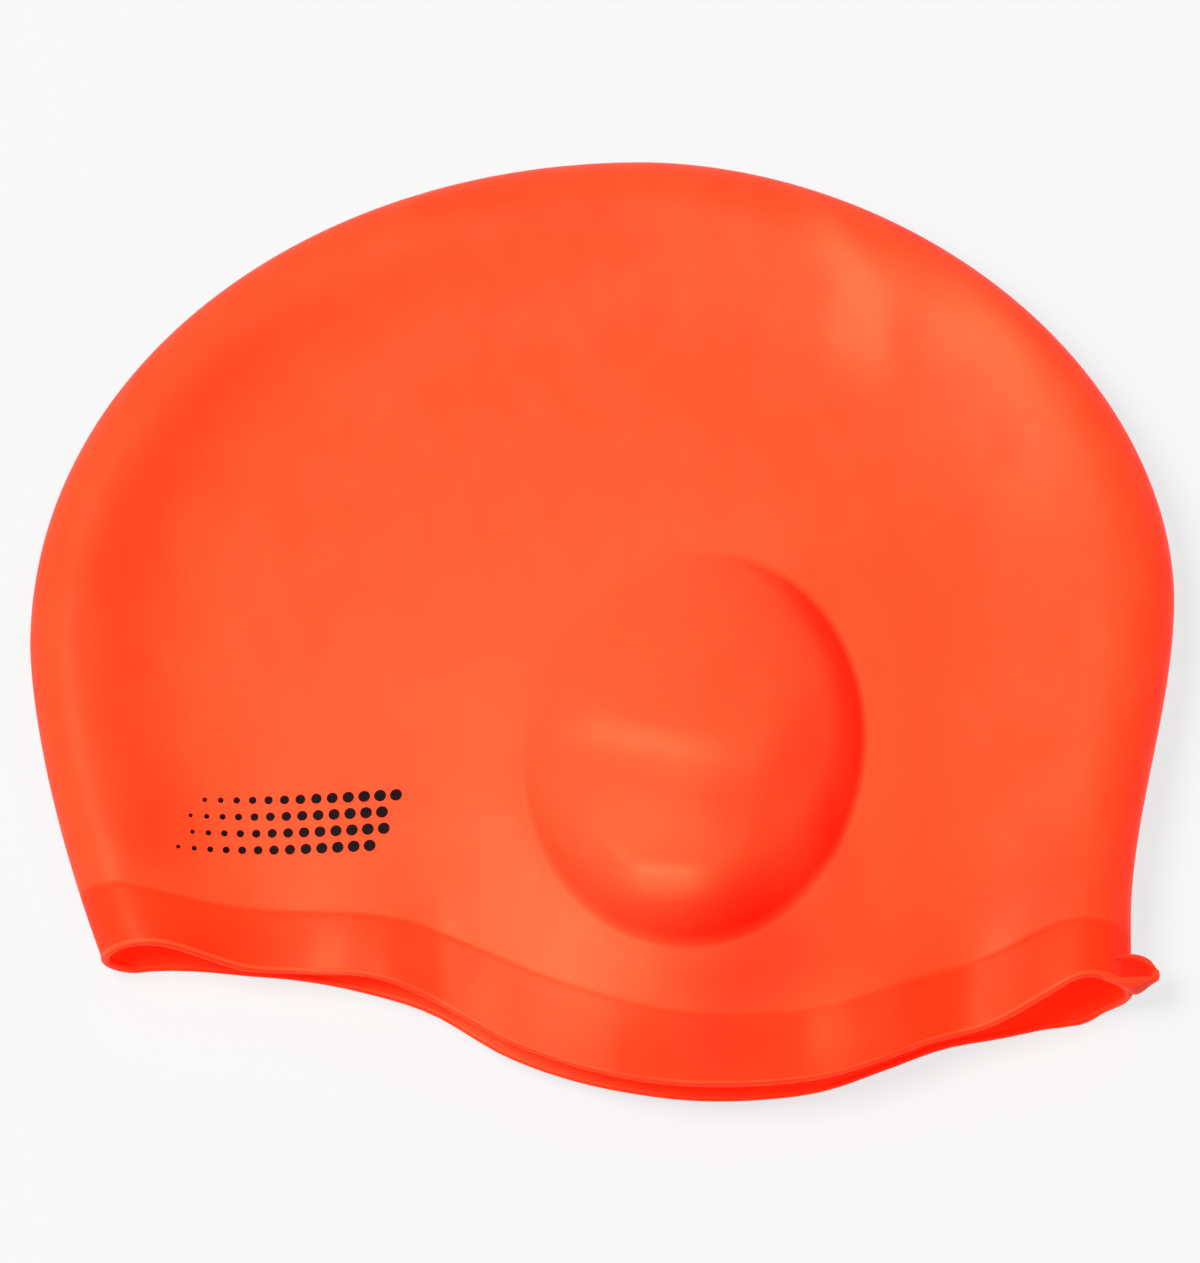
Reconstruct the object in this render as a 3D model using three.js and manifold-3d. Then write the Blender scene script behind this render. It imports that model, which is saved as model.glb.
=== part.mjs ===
// A moulded silicone swim cap with an ear pocket on each side, lying on its side on a flat floor.
// It is one shell: crown, rim band, two ear pockets and a small pull tab at the back of the rim.
// Millimetres. X runs from the front of the cap to its back, Y from the rim to the crown, and
// Z up from the floor. The upper wall faces the sky and the lower wall lies on the floor.

import * as THREE from 'three';
import { mergeVertices } from 'three/addons/utils/BufferGeometryUtils.js';
import Module from 'manifold-3d';

// Outline of the flat cap from above. Y counts here from the widest place of the front.
const CAP_LENGTH = 230;
const CROWN_RISE = 101.5;
const CROWN_SETBACK = 7.6;
const FRONT_FULLNESS = 2.03;
const BACK_FULLNESS = 1.885;
const BACK_WIDEST_RISE = 9.2;
const SKIRT_DROP = 67;
const FRONT_TAPER = 15;
const FRONT_TAPER_POWER = 1.6;
const BACK_TAPER = 9;
const BACK_TAPER_RUN = 68.7;

// Rim: how far it dips over the ears below its front end.
const RIM_DIP = 28.5;

// Walls. The band's extra thickness fades out over BAND_FADE of the half width beside each fold.
const WALL = 1;
const BAND_EXTRA = 0.5;
const BAND_WIDTH = 12.6;
const BAND_STEP = 1.6;
const BAND_FADE = 0.1;
const LIP_DROP = 0.45;

// Thickness of the lying cap: rolled folds all round, a settled field between them.
const ROLL_RADIUS = 9.75;
const ROLL_GROWTH = 1.15;
const SETTLE_RUN = 14;
const CROWN_DEPTH = 14;
const RIM_DEPTH = 10;
const DEPTH_TILT = 4;

// The lower ear pocket props the cap up in a wide soft hump towards the rim.
const PROP_RISE = 10;
const PROP_CENTRE = { x: 18, y: -57 };
const PROP_REACH = { x: 92, y: 95 };

// Ear pockets, one in each wall.
const POCKET_CENTRE = { x: 18.2, y: -25 };
const POCKET_HALF = { x: 34.3, y: 42.4 };
const POCKET_LEAN = 5;
const POCKET_DEPTH = 15;
const POCKET_FALL = 45;
const POCKET_SHOULDER = 2.4;
const POCKET_FOOT = 0.8;

// Pull tab at the back end of the rim.
const TAB_REACH = 5.9;
const TAB_WIDTH = 9;
const TAB_DISH_DEPTH = 1.6;
const TAB_DISH_LIFT = 0.6;
const TAB_DISH_TURN = 0.15;

// Half length, half width and place of the dish: out is a share of TAB_REACH from the back fold, up
// one of TAB_WIDTH from the end of the rim, and over one of the fold's radius from the floor.
const TAB_DISH = { long: 0.82, wide: 0.23, out: 0.05, up: 0.52, over: 1.44 };

// Mesh density: steps across and along each wall.
const ROLL_STEPS = 5;
const ROLL_TURN = 0.45;
const FRONT_FIELD_STEPS = 7;
const POCKET_STEPS = 14;
const BACK_FIELD_STEPS = 5;
const FOOT_ROWS = 3;
const POCKET_ROWS = 14;
const CROWN_ROWS = 10;
const OUTLINE_STEPS = 90;
const POCKET_SPREAD = 0.33;
const DISH_SIDES = 14;
const DISH_BANDS = 8;
const MERGE_GAP = 1e-4;

// Rim line from the front fold (-1) to the back fold (1), as shares of the half width. Upper and
// lower are drops of the two walls' rims as shares of RIM_DIP, band is a share of BAND_WIDTH.
const RIM_TABLE = [
  { at: -1.0, upper: 0.0, lower: 0.0, band: 1.05 },
  { at: -0.95, upper: -0.03, lower: -0.01, band: 1.0 },
  { at: -0.88, upper: -0.03, lower: -0.03, band: 0.9 },
  { at: -0.8, upper: 0.03, lower: -0.02, band: 0.84 },
  { at: -0.72, upper: 0.09, lower: 0.01, band: 0.83 },
  { at: -0.62, upper: 0.11, lower: 0.045, band: 0.83 },
  { at: -0.5, upper: 0.16, lower: 0.145, band: 0.93 },
  { at: -0.36, upper: 0.33, lower: 0.33, band: 1.1 },
  { at: -0.22, upper: 0.64, lower: 0.65, band: 1.2 },
  { at: -0.1, upper: 0.83, lower: 0.83, band: 1.2 },
  { at: 0.02, upper: 0.95, lower: 0.94, band: 1.15 },
  { at: 0.15, upper: 1.0, lower: 1.0, band: 1.06 },
  { at: 0.28, upper: 0.99, lower: 0.99, band: 1.05 },
  { at: 0.4, upper: 0.93, lower: 0.92, band: 1.07 },
  { at: 0.52, upper: 0.79, lower: 0.755, band: 1.06 },
  { at: 0.63, upper: 0.63, lower: 0.59, band: 1.05 },
  { at: 0.74, upper: 0.51, lower: 0.49, band: 1.05 },
  { at: 0.83, upper: 0.37, lower: 0.405, band: 1.03 },
  { at: 0.9, upper: 0.25, lower: 0.37, band: 0.92 },
  { at: 0.95, upper: 0.24, lower: 0.29, band: 0.9 },
  { at: 1.0, upper: 0.27, lower: 0.27, band: 0.9 },
];

// Width of the pocket's side by direction (0 towards the back, 90 towards the crown), as a share
// of the pocket's radius: steep below, rounded behind and towards the crown.
const POCKET_SIDES = [
  { at: 0, width: 0.75 },
  { at: 45, width: 0.68 },
  { at: 90, width: 0.55 },
  { at: 135, width: 0.5 },
  { at: 180, width: 0.45 },
  { at: 225, width: 0.32 },
  { at: 265, width: 0.27 },
  { at: 300, width: 0.36 },
  { at: 330, width: 0.6 },
  { at: 360, width: 0.75 },
];

// Height of the pocket's roof from its low side, up and in front (-1), to its high side, below and
// behind (1), as shares of POCKET_DEPTH. POCKET_FALL is the direction of the high side.
const POCKET_ROOF = [
  { at: -1.0, height: 0.1 },
  { at: -0.7, height: 0.34 },
  { at: -0.35, height: 0.66 },
  { at: 0.0, height: 0.88 },
  { at: 0.35, height: 0.98 },
  { at: 0.7, height: 1.0 },
  { at: 1.0, height: 1.0 },
];

// Soft folds of the upper wall: ridges (+) and valleys (-). x is a share of the half length, y,
// along and across are shares of CROWN_RISE, and lift is a share of ROLL_RADIUS.
const SOFT_FOLDS = [
  { x: 0.49, y: 0.7, turn: 0, along: 0.17, across: 0.07, lift: 0.1 },
  { x: 0.58, y: 0.67, turn: 0, along: 0.17, across: 0.07, lift: -0.11 },
  { x: 0.69, y: 0.57, turn: 35, along: 0.2, across: 0.08, lift: 0.07 },
  { x: -0.08, y: -0.62, turn: 45, along: 0.25, across: 0.09, lift: -0.1 },
  { x: 0.07, y: -0.74, turn: 70, along: 0.25, across: 0.08, lift: 0.06 },
  { x: -0.415, y: -0.68, turn: 0, along: 0.25, across: 0.09, lift: 0.1 },
  { x: -0.257, y: -0.74, turn: 0, along: 0.22, across: 0.08, lift: -0.08 },
];

// Sections of the pull tab from its root to its tip. x is a share of TAB_REACH from the back fold,
// low and high are shares of TAB_WIDTH from the end of the rim, under and over are shares of the
// fold's radius from its middle.
const TAB_SECTIONS = [
  { x: -1.0, low: 0.1, high: 0.56, under: -0.4, over: 0.8 },
  { x: 0.0, low: 0.16, high: 0.84, under: -0.3, over: 0.5 },
  { x: 0.7, low: 0.35, high: 0.9, under: -0.18, over: 0.22 },
  { x: 1.0, low: 0.46, high: 0.74, under: -0.1, over: 0.08 },
];

const SILICONE_COLOUR = 0xff5a34;
const SILICONE_ROUGHNESS = 0.45;

const halfLength = CAP_LENGTH / 2;
const rimFrontEnd = -SKIRT_DROP;

// Value of a table's column at a place, joined by a smooth curve without overshoot between rows.
function readTable(table, column, place) {
  const last = table.length - 1;
  if (place <= table[0].at) return table[0][column];
  if (place >= table[last].at) return table[last][column];
  let row = 0;
  while (table[row + 1].at < place) row += 1;
  const slopeOf = (index) => {
    const before = table[Math.max(index - 1, 0)];
    const after = table[Math.min(index + 1, last)];
    return (after[column] - before[column]) / (after.at - before.at);
  };
  const span = table[row + 1].at - table[row].at;
  const share = (place - table[row].at) / span;
  const rest = 1 - share;
  return (
    (1 + 2 * share) * rest * rest * table[row][column] +
    share * share * (3 - 2 * share) * table[row + 1][column] +
    share * rest * span * (rest * slopeOf(row) - share * slopeOf(row + 1))
  );
}

function smooth(share) {
  const held = Math.min(Math.max(share, 0), 1);
  return held * held * (3 - 2 * held);
}

// Quarter of a rounded outline: 1 at its widest place, 0 at its top.
function quarter(rise, fullness) {
  return (1 - Math.min(rise, 1) ** fullness) ** (1 / fullness);
}

function frontFold(y) {
  if (y >= 0) return CROWN_SETBACK - (halfLength + CROWN_SETBACK) * quarter(y / CROWN_RISE, FRONT_FULLNESS);
  return -halfLength + FRONT_TAPER * Math.min(-y / SKIRT_DROP, 1) ** FRONT_TAPER_POWER;
}

function backFold(y) {
  const rise = y - BACK_WIDEST_RISE;
  if (rise < 0) return halfLength - BACK_TAPER * smooth(-rise / BACK_TAPER_RUN);
  const reach = halfLength - CROWN_SETBACK;
  return CROWN_SETBACK + reach * quarter(rise / (CROWN_RISE - BACK_WIDEST_RISE), BACK_FULLNESS);
}

// The fold line all round, from the front end of the rim over the crown to the back end.
const foldLine = [];
for (let step = -OUTLINE_STEPS; step <= OUTLINE_STEPS; step += 1) {
  const share = step / OUTLINE_STEPS;
  const y = CROWN_RISE - (CROWN_RISE + SKIRT_DROP + RIM_DIP) * share * share;
  foldLine.push(new THREE.Vector2(step < 0 ? frontFold(y) : backFold(y), y));
}

// Distance in plan from a point to the fold line.
function distanceToFold(x, y) {
  let nearest = Infinity;
  for (let index = 1; index < foldLine.length; index += 1) {
    const start = foldLine[index - 1];
    const end = foldLine[index];
    const alongX = end.x - start.x;
    const alongY = end.y - start.y;
    const share = ((x - start.x) * alongX + (y - start.y) * alongY) / (alongX ** 2 + alongY ** 2);
    const held = Math.min(Math.max(share, 0), 1);
    nearest = Math.min(nearest, Math.hypot(x - start.x - held * alongX, y - start.y - held * alongY));
  }
  return nearest;
}

function foldRadius(x) {
  return ROLL_RADIUS + (ROLL_GROWTH * x) / halfLength;
}

// Place of a point in the ear pocket's own oval: radius 1 is the foot of the pocket's side.
function inPocket(x, y) {
  const lean = THREE.MathUtils.degToRad(POCKET_LEAN);
  const fromX = x - POCKET_CENTRE.x;
  const fromY = y - POCKET_CENTRE.y;
  const across = (fromX * Math.cos(lean) - fromY * Math.sin(lean)) / POCKET_HALF.x;
  const along = (fromX * Math.sin(lean) + fromY * Math.cos(lean)) / POCKET_HALF.y;
  return { across, along, radius: Math.hypot(across, along) };
}

// Width of the pocket's side in the direction of a place in its oval.
function sideWidth({ across, along }) {
  const turn = THREE.MathUtils.radToDeg(Math.atan2(along, across));
  return readTable(POCKET_SIDES, 'width', turn < 0 ? turn + 360 : turn);
}

// How far an ear pocket stands out of its wall.
function pocketRise(x, y) {
  const place = inPocket(x, y);
  const { across, along, radius } = place;
  if (radius >= 1) return 0;
  const left = 1 - Math.min((1 - radius) / sideWidth(place), 1);
  const side = (1 - left ** POCKET_SHOULDER) ** POCKET_FOOT;
  const fall = THREE.MathUtils.degToRad(POCKET_FALL);
  const roof = readTable(POCKET_ROOF, 'height', across * Math.cos(fall) - along * Math.sin(fall));
  return POCKET_DEPTH * side * roof;
}

function softFolds(x, y) {
  let lift = 0;
  for (const fold of SOFT_FOLDS) {
    const turn = THREE.MathUtils.degToRad(fold.turn);
    const fromX = x - fold.x * halfLength;
    const fromY = y - fold.y * CROWN_RISE;
    const across = (fromX * Math.cos(turn) + fromY * Math.sin(turn)) / (fold.across * CROWN_RISE);
    const along = (fromY * Math.cos(turn) - fromX * Math.sin(turn)) / (fold.along * CROWN_RISE);
    lift += fold.lift * ROLL_RADIUS * Math.exp(-across * across - along * along);
  }
  return lift;
}

// Height of the outer face of a wall above the floor, without the band's extra thickness.
function wallHeight(x, y, isUpper, onFold, ground) {
  const radius = foldRadius(x);
  if (onFold) return radius;
  const inside = distanceToFold(x, y);
  const reach = Math.max(radius - inside, 0);
  const rise = Math.sqrt(radius * radius - reach * reach);
  const settled = 1 - Math.exp(-((Math.max(inside - radius, 0) / SETTLE_RUN) ** 2));
  const propX = (x - PROP_CENTRE.x) / PROP_REACH.x;
  const propY = (y - PROP_CENTRE.y) / PROP_REACH.y;
  const prop = PROP_RISE * Math.max(1 - propX * propX - propY * propY, 0) ** 2;
  if (!isUpper) return Math.max(radius - rise + prop * settled - pocketRise(x, y), ground);
  const climb = smooth((y + SKIRT_DROP + RIM_DIP) / SKIRT_DROP);
  const depth = RIM_DEPTH + (CROWN_DEPTH - RIM_DEPTH + (DEPTH_TILT * x) / halfLength) * climb;
  const field = prop + depth - 2 * radius + softFolds(x, y);
  return radius + rise + field * settled + pocketRise(x, y);
}

// Top of the band over the middle of the pocket, and a height there as a row's share of the way from
// the crown's top back to the band.
const pocketMiddle = POCKET_CENTRE.x / halfLength;
const footOverPocket =
  rimFrontEnd -
  readTable(RIM_TABLE, 'upper', pocketMiddle) * RIM_DIP +
  readTable(RIM_TABLE, 'band', pocketMiddle) * BAND_WIDTH +
  BAND_STEP;

function crownShare(y) {
  return Math.sqrt((CROWN_RISE - y) / (CROWN_RISE - footOverPocket));
}

// Bends the net round the pocket, so that one closed line of it runs along the pocket's foot.
function bendRound(x, y, share, row) {
  const across = (share * halfLength - POCKET_CENTRE.x) / POCKET_HALF.x;
  const height = CROWN_RISE - (CROWN_RISE - footOverPocket) * row.crown ** 2;
  const along = (height - POCKET_CENTRE.y) / POCKET_HALF.y;
  const ring = Math.max(Math.abs(across), Math.abs(along));
  const bend = 1 - smooth((ring - 1) / POCKET_SPREAD);
  if (bend === 0) return { x, y };
  const size = ring / (Math.hypot(across, along) || 1);
  const lean = THREE.MathUtils.degToRad(POCKET_LEAN);
  const toX = across * size * POCKET_HALF.x;
  const toY = along * size * POCKET_HALF.y;
  const bentX = POCKET_CENTRE.x + toX * Math.cos(lean) + toY * Math.sin(lean);
  const bentY = POCKET_CENTRE.y - toX * Math.sin(lean) + toY * Math.cos(lean);
  return { x: x + (bentX - x) * bend, y: y + (bentY - y) * bend };
}

// Columns across a wall as shares of the half width, close together on the folds and the pocket.
function columnShares() {
  const rollEnd = Math.cos(ROLL_TURN);
  const pocketStart = (POCKET_CENTRE.x - POCKET_HALF.x) / halfLength;
  const pocketEnd = (POCKET_CENTRE.x + POCKET_HALF.x) / halfLength;
  const shares = [];
  for (let step = 0; step < ROLL_STEPS; step += 1) shares.push(-Math.cos((ROLL_TURN * step) / ROLL_STEPS));
  const fields = [
    { from: -rollEnd, to: pocketStart, steps: FRONT_FIELD_STEPS },
    { from: pocketStart, to: pocketEnd, steps: POCKET_STEPS },
    { from: pocketEnd, to: rollEnd, steps: BACK_FIELD_STEPS },
  ];
  for (const { from, to, steps } of fields) {
    for (let step = 0; step < steps; step += 1) shares.push(from + ((to - from) * step) / steps);
  }
  for (let step = ROLL_STEPS; step >= 0; step -= 1) shares.push(Math.cos((ROLL_TURN * step) / ROLL_STEPS));
  return shares;
}

// Rows of a wall from the rim up. A band row holds its place as a share of the band, and a crown
// row its share of the way from the crown's top back to the band.
function wallRows() {
  const rows = [
    { band: 0, extra: BAND_EXTRA },
    { band: 1 / 3, extra: BAND_EXTRA },
    { band: 2 / 3, extra: BAND_EXTRA },
    { band: 1, extra: BAND_EXTRA },
  ];
  const pocketFoot = crownShare(POCKET_CENTRE.y - POCKET_HALF.y);
  const pocketTop = crownShare(POCKET_CENTRE.y + POCKET_HALF.y);
  const fields = [
    { from: 1, to: pocketFoot, steps: FOOT_ROWS },
    { from: pocketFoot, to: pocketTop, steps: POCKET_ROWS },
    { from: pocketTop, to: 0, steps: CROWN_ROWS },
  ];
  for (const { from, to, steps } of fields) {
    for (let step = 0; step < steps; step += 1) {
      rows.push({ crown: from + ((to - from) * step) / steps, extra: 0 });
    }
  }
  return rows;
}

const shares = columnShares();
const rows = wallRows();
const across = shares.length - 1;
const columns = 2 * across;

// Extra thickness of a row in a column.
function extraAt(row, column) {
  const share = shares[column <= across ? column : columns - column];
  return row.extra * smooth((1 - Math.abs(share)) / BAND_FADE);
}

// Point of the base surface, the outer face without the band's extra thickness.
function basePoint(row, column) {
  const isUpper = column <= across;
  const index = isUpper ? column : columns - column;
  const onFold = index === 0 || index === across;
  const share = shares[index];
  const drop = readTable(RIM_TABLE, isUpper ? 'upper' : 'lower', share) * RIM_DIP;
  const rim = rimFrontEnd - drop + LIP_DROP;
  const bandTop = rimFrontEnd - drop + readTable(RIM_TABLE, 'band', share) * BAND_WIDTH;
  const crownFoot = bandTop + BAND_STEP;
  const y =
    row.crown === undefined
      ? rim + (bandTop - rim) * row.band
      : CROWN_RISE - (CROWN_RISE - crownFoot) * row.crown ** 2;
  const front = frontFold(y);
  const back = backFold(y);
  const x = (front + back) / 2 + ((back - front) / 2) * share;
  const placed = onFold || row.crown === undefined ? { x, y } : bendRound(x, y, share, row);
  const height = wallHeight(placed.x, placed.y, isUpper, onFold, extraAt(row, column));
  return new THREE.Vector3(placed.x, placed.y, height);
}

const base = rows.map((row) => shares.concat(shares.slice(1, -1)).map((_, column) => basePoint(row, column)));
const crownTop = new THREE.Vector3(CROWN_SETBACK, CROWN_RISE, foldRadius(CROWN_SETBACK));

// Outward direction of the base surface at a grid point.
function outward(rowIndex, column) {
  const before = base[rowIndex][(column + columns - 1) % columns];
  const after = base[rowIndex][(column + 1) % columns];
  const below = base[Math.max(rowIndex - 1, 0)][column];
  const above = rowIndex + 1 < rows.length ? base[rowIndex + 1][column] : crownTop;
  const round = after.clone().sub(before);
  const up = above.clone().sub(below);
  return up.cross(round).negate().normalize();
}

// Net of a face at a depth under the base surface; the outer face stands out by the band's extra.
function face(depthOf) {
  return base.map((ring, rowIndex) => {
    return ring.map((point, column) => {
      const depth = depthOf(rows[rowIndex], column);
      return point.clone().addScaledVector(outward(rowIndex, column), -depth);
    });
  });
}

// Ring of the rounded lip, halfway between two faces' ends at the rim.
function lipRing(outer, inner) {
  return outer[0].map((point, column) => {
    const middle = point.clone().add(inner[0][column]).multiplyScalar(0.5);
    middle.y -= LIP_DROP;
    return middle;
  });
}

// Solid from an ordered list of rings and the points that close its two ends.
function ringedSolid(rings, firstEnd, lastEnd) {
  const points = [];
  const faces = [];
  const add = (point) => points.push(point.x, point.y, point.z) / 3 - 1;
  const ids = rings.map((ring) => ring.map(add));
  for (let ring = 1; ring < ids.length; ring += 1) {
    for (let column = 0; column < columns; column += 1) {
      const next = (column + 1) % columns;
      const [a, b] = [ids[ring - 1][column], ids[ring - 1][next]];
      const [c, d] = [ids[ring][column], ids[ring][next]];
      const toD = rings[ring - 1][column].distanceTo(rings[ring][next]);
      const toC = rings[ring - 1][next].distanceTo(rings[ring][column]);
      faces.push(...(toD < toC ? [a, b, d, a, d, c] : [a, b, c, b, d, c]));
    }
  }
  for (const [end, ring, turned] of [
    [firstEnd, ids[0], false],
    [lastEnd, ids[ids.length - 1], true],
  ]) {
    if (!end) {
      for (let column = 0; column < across; column += 1) {
        const [a, b] = [ring[column], ring[column + 1]];
        const [c, d] = [ring[(columns - column) % columns], ring[columns - column - 1]];
        if (column > 0) faces.push(...(turned ? [a, b, c] : [a, c, b]));
        if (column < across - 1) faces.push(...(turned ? [b, d, c] : [b, c, d]));
      }
      continue;
    }
    const tip = add(end);
    for (let column = 0; column < columns; column += 1) {
      const next = (column + 1) % columns;
      faces.push(...(turned ? [ring[column], ring[next], tip] : [ring[next], ring[column], tip]));
    }
  }
  const geometry = new THREE.BufferGeometry();
  geometry.setAttribute('position', new THREE.Float32BufferAttribute(points, 3));
  geometry.setIndex(faces);
  return geometry;
}

// Pull tab: a wedge that narrows from the rolled fold to its tip.
function tabBody() {
  const fold = backFold(rimFrontEnd - RIM_DIP);
  const rimEnd = rimFrontEnd - readTable(RIM_TABLE, 'upper', 1) * RIM_DIP;
  const middle = foldRadius(fold);
  const points = [];
  const faces = [];
  for (const section of TAB_SECTIONS) {
    const x = fold + section.x * TAB_REACH;
    const low = rimEnd + section.low * TAB_WIDTH;
    const high = rimEnd + section.high * TAB_WIDTH;
    const under = middle * (1 + section.under);
    const over = middle * (1 + section.over);
    points.push(x, low, under, x, high, under, x, high, over, x, low, over);
  }
  const last = 4 * (TAB_SECTIONS.length - 1);
  for (let first = 0; first < last; first += 4) {
    for (let side = 0; side < 4; side += 1) {
      const [a, b] = [first + side, first + ((side + 1) % 4)];
      faces.push(a, b, b + 4, a, b + 4, a + 4);
    }
  }
  faces.push(0, 2, 1, 0, 3, 2, last, last + 1, last + 2, last, last + 2, last + 3);
  const geometry = new THREE.BufferGeometry();
  geometry.setAttribute('position', new THREE.Float32BufferAttribute(points, 3));
  geometry.setIndex(faces);
  return geometry;
}

// Dish sunk into the tab's upper face: an oval ball turned to the slope of that face.
function tabDish() {
  const fold = backFold(rimFrontEnd - RIM_DIP);
  const rimEnd = rimFrontEnd - readTable(RIM_TABLE, 'upper', 1) * RIM_DIP;
  const middle = foldRadius(fold);
  const [root, , , tip] = TAB_SECTIONS;
  const slope = Math.atan2((root.over - tip.over) * middle, (tip.x - root.x) * TAB_REACH);
  const dish = new THREE.SphereGeometry(1, DISH_SIDES, DISH_BANDS);
  dish.scale(TAB_REACH * TAB_DISH.long, TAB_WIDTH * TAB_DISH.wide, TAB_DISH_DEPTH + TAB_DISH_LIFT);
  dish.rotateY(slope);
  dish.rotateZ(TAB_DISH_TURN);
  const height = middle * TAB_DISH.over + TAB_DISH_LIFT;
  dish.translate(fold + TAB_REACH * TAB_DISH.out, rimEnd + TAB_WIDTH * TAB_DISH.up, height);
  return dish;
}

const wasm = await Module();
wasm.setup();

function toSolid(geometry) {
  const bare = geometry.clone();
  bare.deleteAttribute('normal');
  bare.deleteAttribute('uv');
  const merged = mergeVertices(bare, MERGE_GAP);
  const vertProperties = new Float32Array(merged.attributes.position.array);
  const triVerts = new Uint32Array(merged.index.array);
  return new wasm.Manifold(new wasm.Mesh({ numProp: 3, vertProperties, triVerts }));
}

function toGeometry(solid) {
  const mesh = solid.getMesh();
  const geometry = new THREE.BufferGeometry();
  geometry.setAttribute('position', new THREE.BufferAttribute(mesh.vertProperties, 3));
  geometry.setIndex(new THREE.BufferAttribute(mesh.triVerts, 1));
  return geometry;
}

const outer = face((row, column) => -extraAt(row, column));
const inner = face(() => WALL);
const middle = face(() => WALL / 2);
const crownPoint = (depth) => new THREE.Vector3(crownTop.x, crownTop.y - depth, crownTop.z);
const lip = lipRing(outer, inner);

const shell = toSolid(ringedSolid([...inner.toReversed(), lip, ...outer], crownPoint(WALL), crownPoint(0)));
const tabRoom = toSolid(ringedSolid(middle, null, crownPoint(WALL / 2)));
const tab = toSolid(tabBody()).subtract(toSolid(tabDish())).subtract(tabRoom);
const capGeometry = toGeometry(shell.add(tab));

// The part's origin is on the floor, under the middle of the cap's length and height.
capGeometry.computeBoundingBox();
const centre = capGeometry.boundingBox.getCenter(new THREE.Vector3());
capGeometry.translate(-centre.x, -centre.y, 0);

const silicone = new THREE.MeshStandardMaterial({
  color: SILICONE_COLOUR,
  roughness: SILICONE_ROUGHNESS,
  metalness: 0,
});
const capShell = new THREE.Mesh(capGeometry, silicone);
capShell.name = 'cap_shell';

const swimCap = new THREE.Group();
swimCap.add(capShell);

export default swimCap;
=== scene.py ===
"""A moulded silicone swim cap with ear pockets, lying on its side on a pale floor.

The cap's skin follows the named sizes and tables of the solid part, on a much finer net and with a few
finer folds. Sizes are millimetres until a mesh is made, and metres in the scene.
"""

import logging
import math
from dataclasses import dataclass, field
from enum import Enum
from typing import List, Mapping, NamedTuple, Optional, Sequence, Tuple, Union

import bpy
import numpy as np
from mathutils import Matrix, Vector


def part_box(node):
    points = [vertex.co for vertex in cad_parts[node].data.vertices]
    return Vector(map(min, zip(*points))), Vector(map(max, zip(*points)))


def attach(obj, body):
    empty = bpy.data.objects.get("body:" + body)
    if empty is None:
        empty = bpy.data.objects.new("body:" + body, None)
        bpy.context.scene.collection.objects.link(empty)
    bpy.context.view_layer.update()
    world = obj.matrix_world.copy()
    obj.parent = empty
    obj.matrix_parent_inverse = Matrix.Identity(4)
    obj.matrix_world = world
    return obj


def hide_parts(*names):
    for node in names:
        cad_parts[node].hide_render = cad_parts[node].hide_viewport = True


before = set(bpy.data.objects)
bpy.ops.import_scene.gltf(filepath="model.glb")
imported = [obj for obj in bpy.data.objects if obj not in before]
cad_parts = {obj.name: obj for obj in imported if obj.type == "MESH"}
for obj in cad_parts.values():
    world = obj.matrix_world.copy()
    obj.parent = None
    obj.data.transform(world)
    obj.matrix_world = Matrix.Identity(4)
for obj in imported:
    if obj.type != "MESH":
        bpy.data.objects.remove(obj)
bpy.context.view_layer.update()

LOG = logging.getLogger("swim_cap")
MM = 0.001
BODY = "root"
TINY = 1e-9

Colour = Tuple[float, float, float]
Grid = np.ndarray


class Wall(Enum):
    """The two walls of the lying cap."""

    UPPER = 1
    LOWER = -1


class Face(Enum):
    """The sides of the skin, stored on its vertices."""

    OUTER = 0.0
    LIP = 0.5
    INNER = 1.0


class RimRow(NamedTuple):
    """Place of the rim: drops of both walls and width of the band, as shares of their sizes."""

    at: float
    upper: float
    lower: float
    band: float


class SideRow(NamedTuple):
    """Width of the pocket's side in one direction, as a share of the pocket's radius."""

    at: float
    width: float


class RoofRow(NamedTuple):
    """Height of the pocket's roof from its low side to its high side, as a share of its depth."""

    at: float
    height: float


class SwellRow(NamedTuple):
    """A soft oval place of the upper wall, in shares of the cap's sizes.

    Its strength is a height where it is a ridge (+) or a valley (-), and a share of colour where it
    is painted light (+) or painted shade (-).
    """

    x: float
    y: float
    turn: float
    along: float
    across: float
    strength: float


class FlankShadeRow(NamedTuple):
    """Width and strength of the painted shade on the pocket's flank in one direction."""

    at: float
    width: float
    depth: float


class TabRow(NamedTuple):
    """A section of the pull tab, in shares of its reach, its width and the fold's radius."""

    at: float
    low: float
    high: float
    under: float
    over: float


RIM_TABLE: Tuple[RimRow, ...] = (
    RimRow(-1.0, 0.0, 0.0, 1.05),
    RimRow(-0.95, -0.03, -0.01, 1.0),
    RimRow(-0.88, -0.03, -0.03, 0.9),
    RimRow(-0.8, 0.03, -0.02, 0.93),
    RimRow(-0.72, 0.09, 0.01, 0.98),
    RimRow(-0.62, 0.11, 0.045, 0.95),
    RimRow(-0.5, 0.16, 0.145, 0.97),
    RimRow(-0.36, 0.33, 0.33, 1.1),
    RimRow(-0.22, 0.64, 0.65, 1.2),
    RimRow(-0.1, 0.83, 0.83, 1.2),
    RimRow(0.02, 0.95, 0.94, 1.15),
    RimRow(0.15, 1.0, 1.0, 1.06),
    RimRow(0.28, 0.99, 0.99, 1.05),
    RimRow(0.4, 0.93, 0.92, 1.07),
    RimRow(0.52, 0.79, 0.755, 1.06),
    RimRow(0.63, 0.63, 0.59, 1.05),
    RimRow(0.74, 0.51, 0.49, 1.05),
    RimRow(0.83, 0.37, 0.405, 1.03),
    RimRow(0.9, 0.25, 0.37, 0.92),
    RimRow(0.95, 0.24, 0.29, 0.9),
    RimRow(1.0, 0.27, 0.27, 0.9),
)
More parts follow.
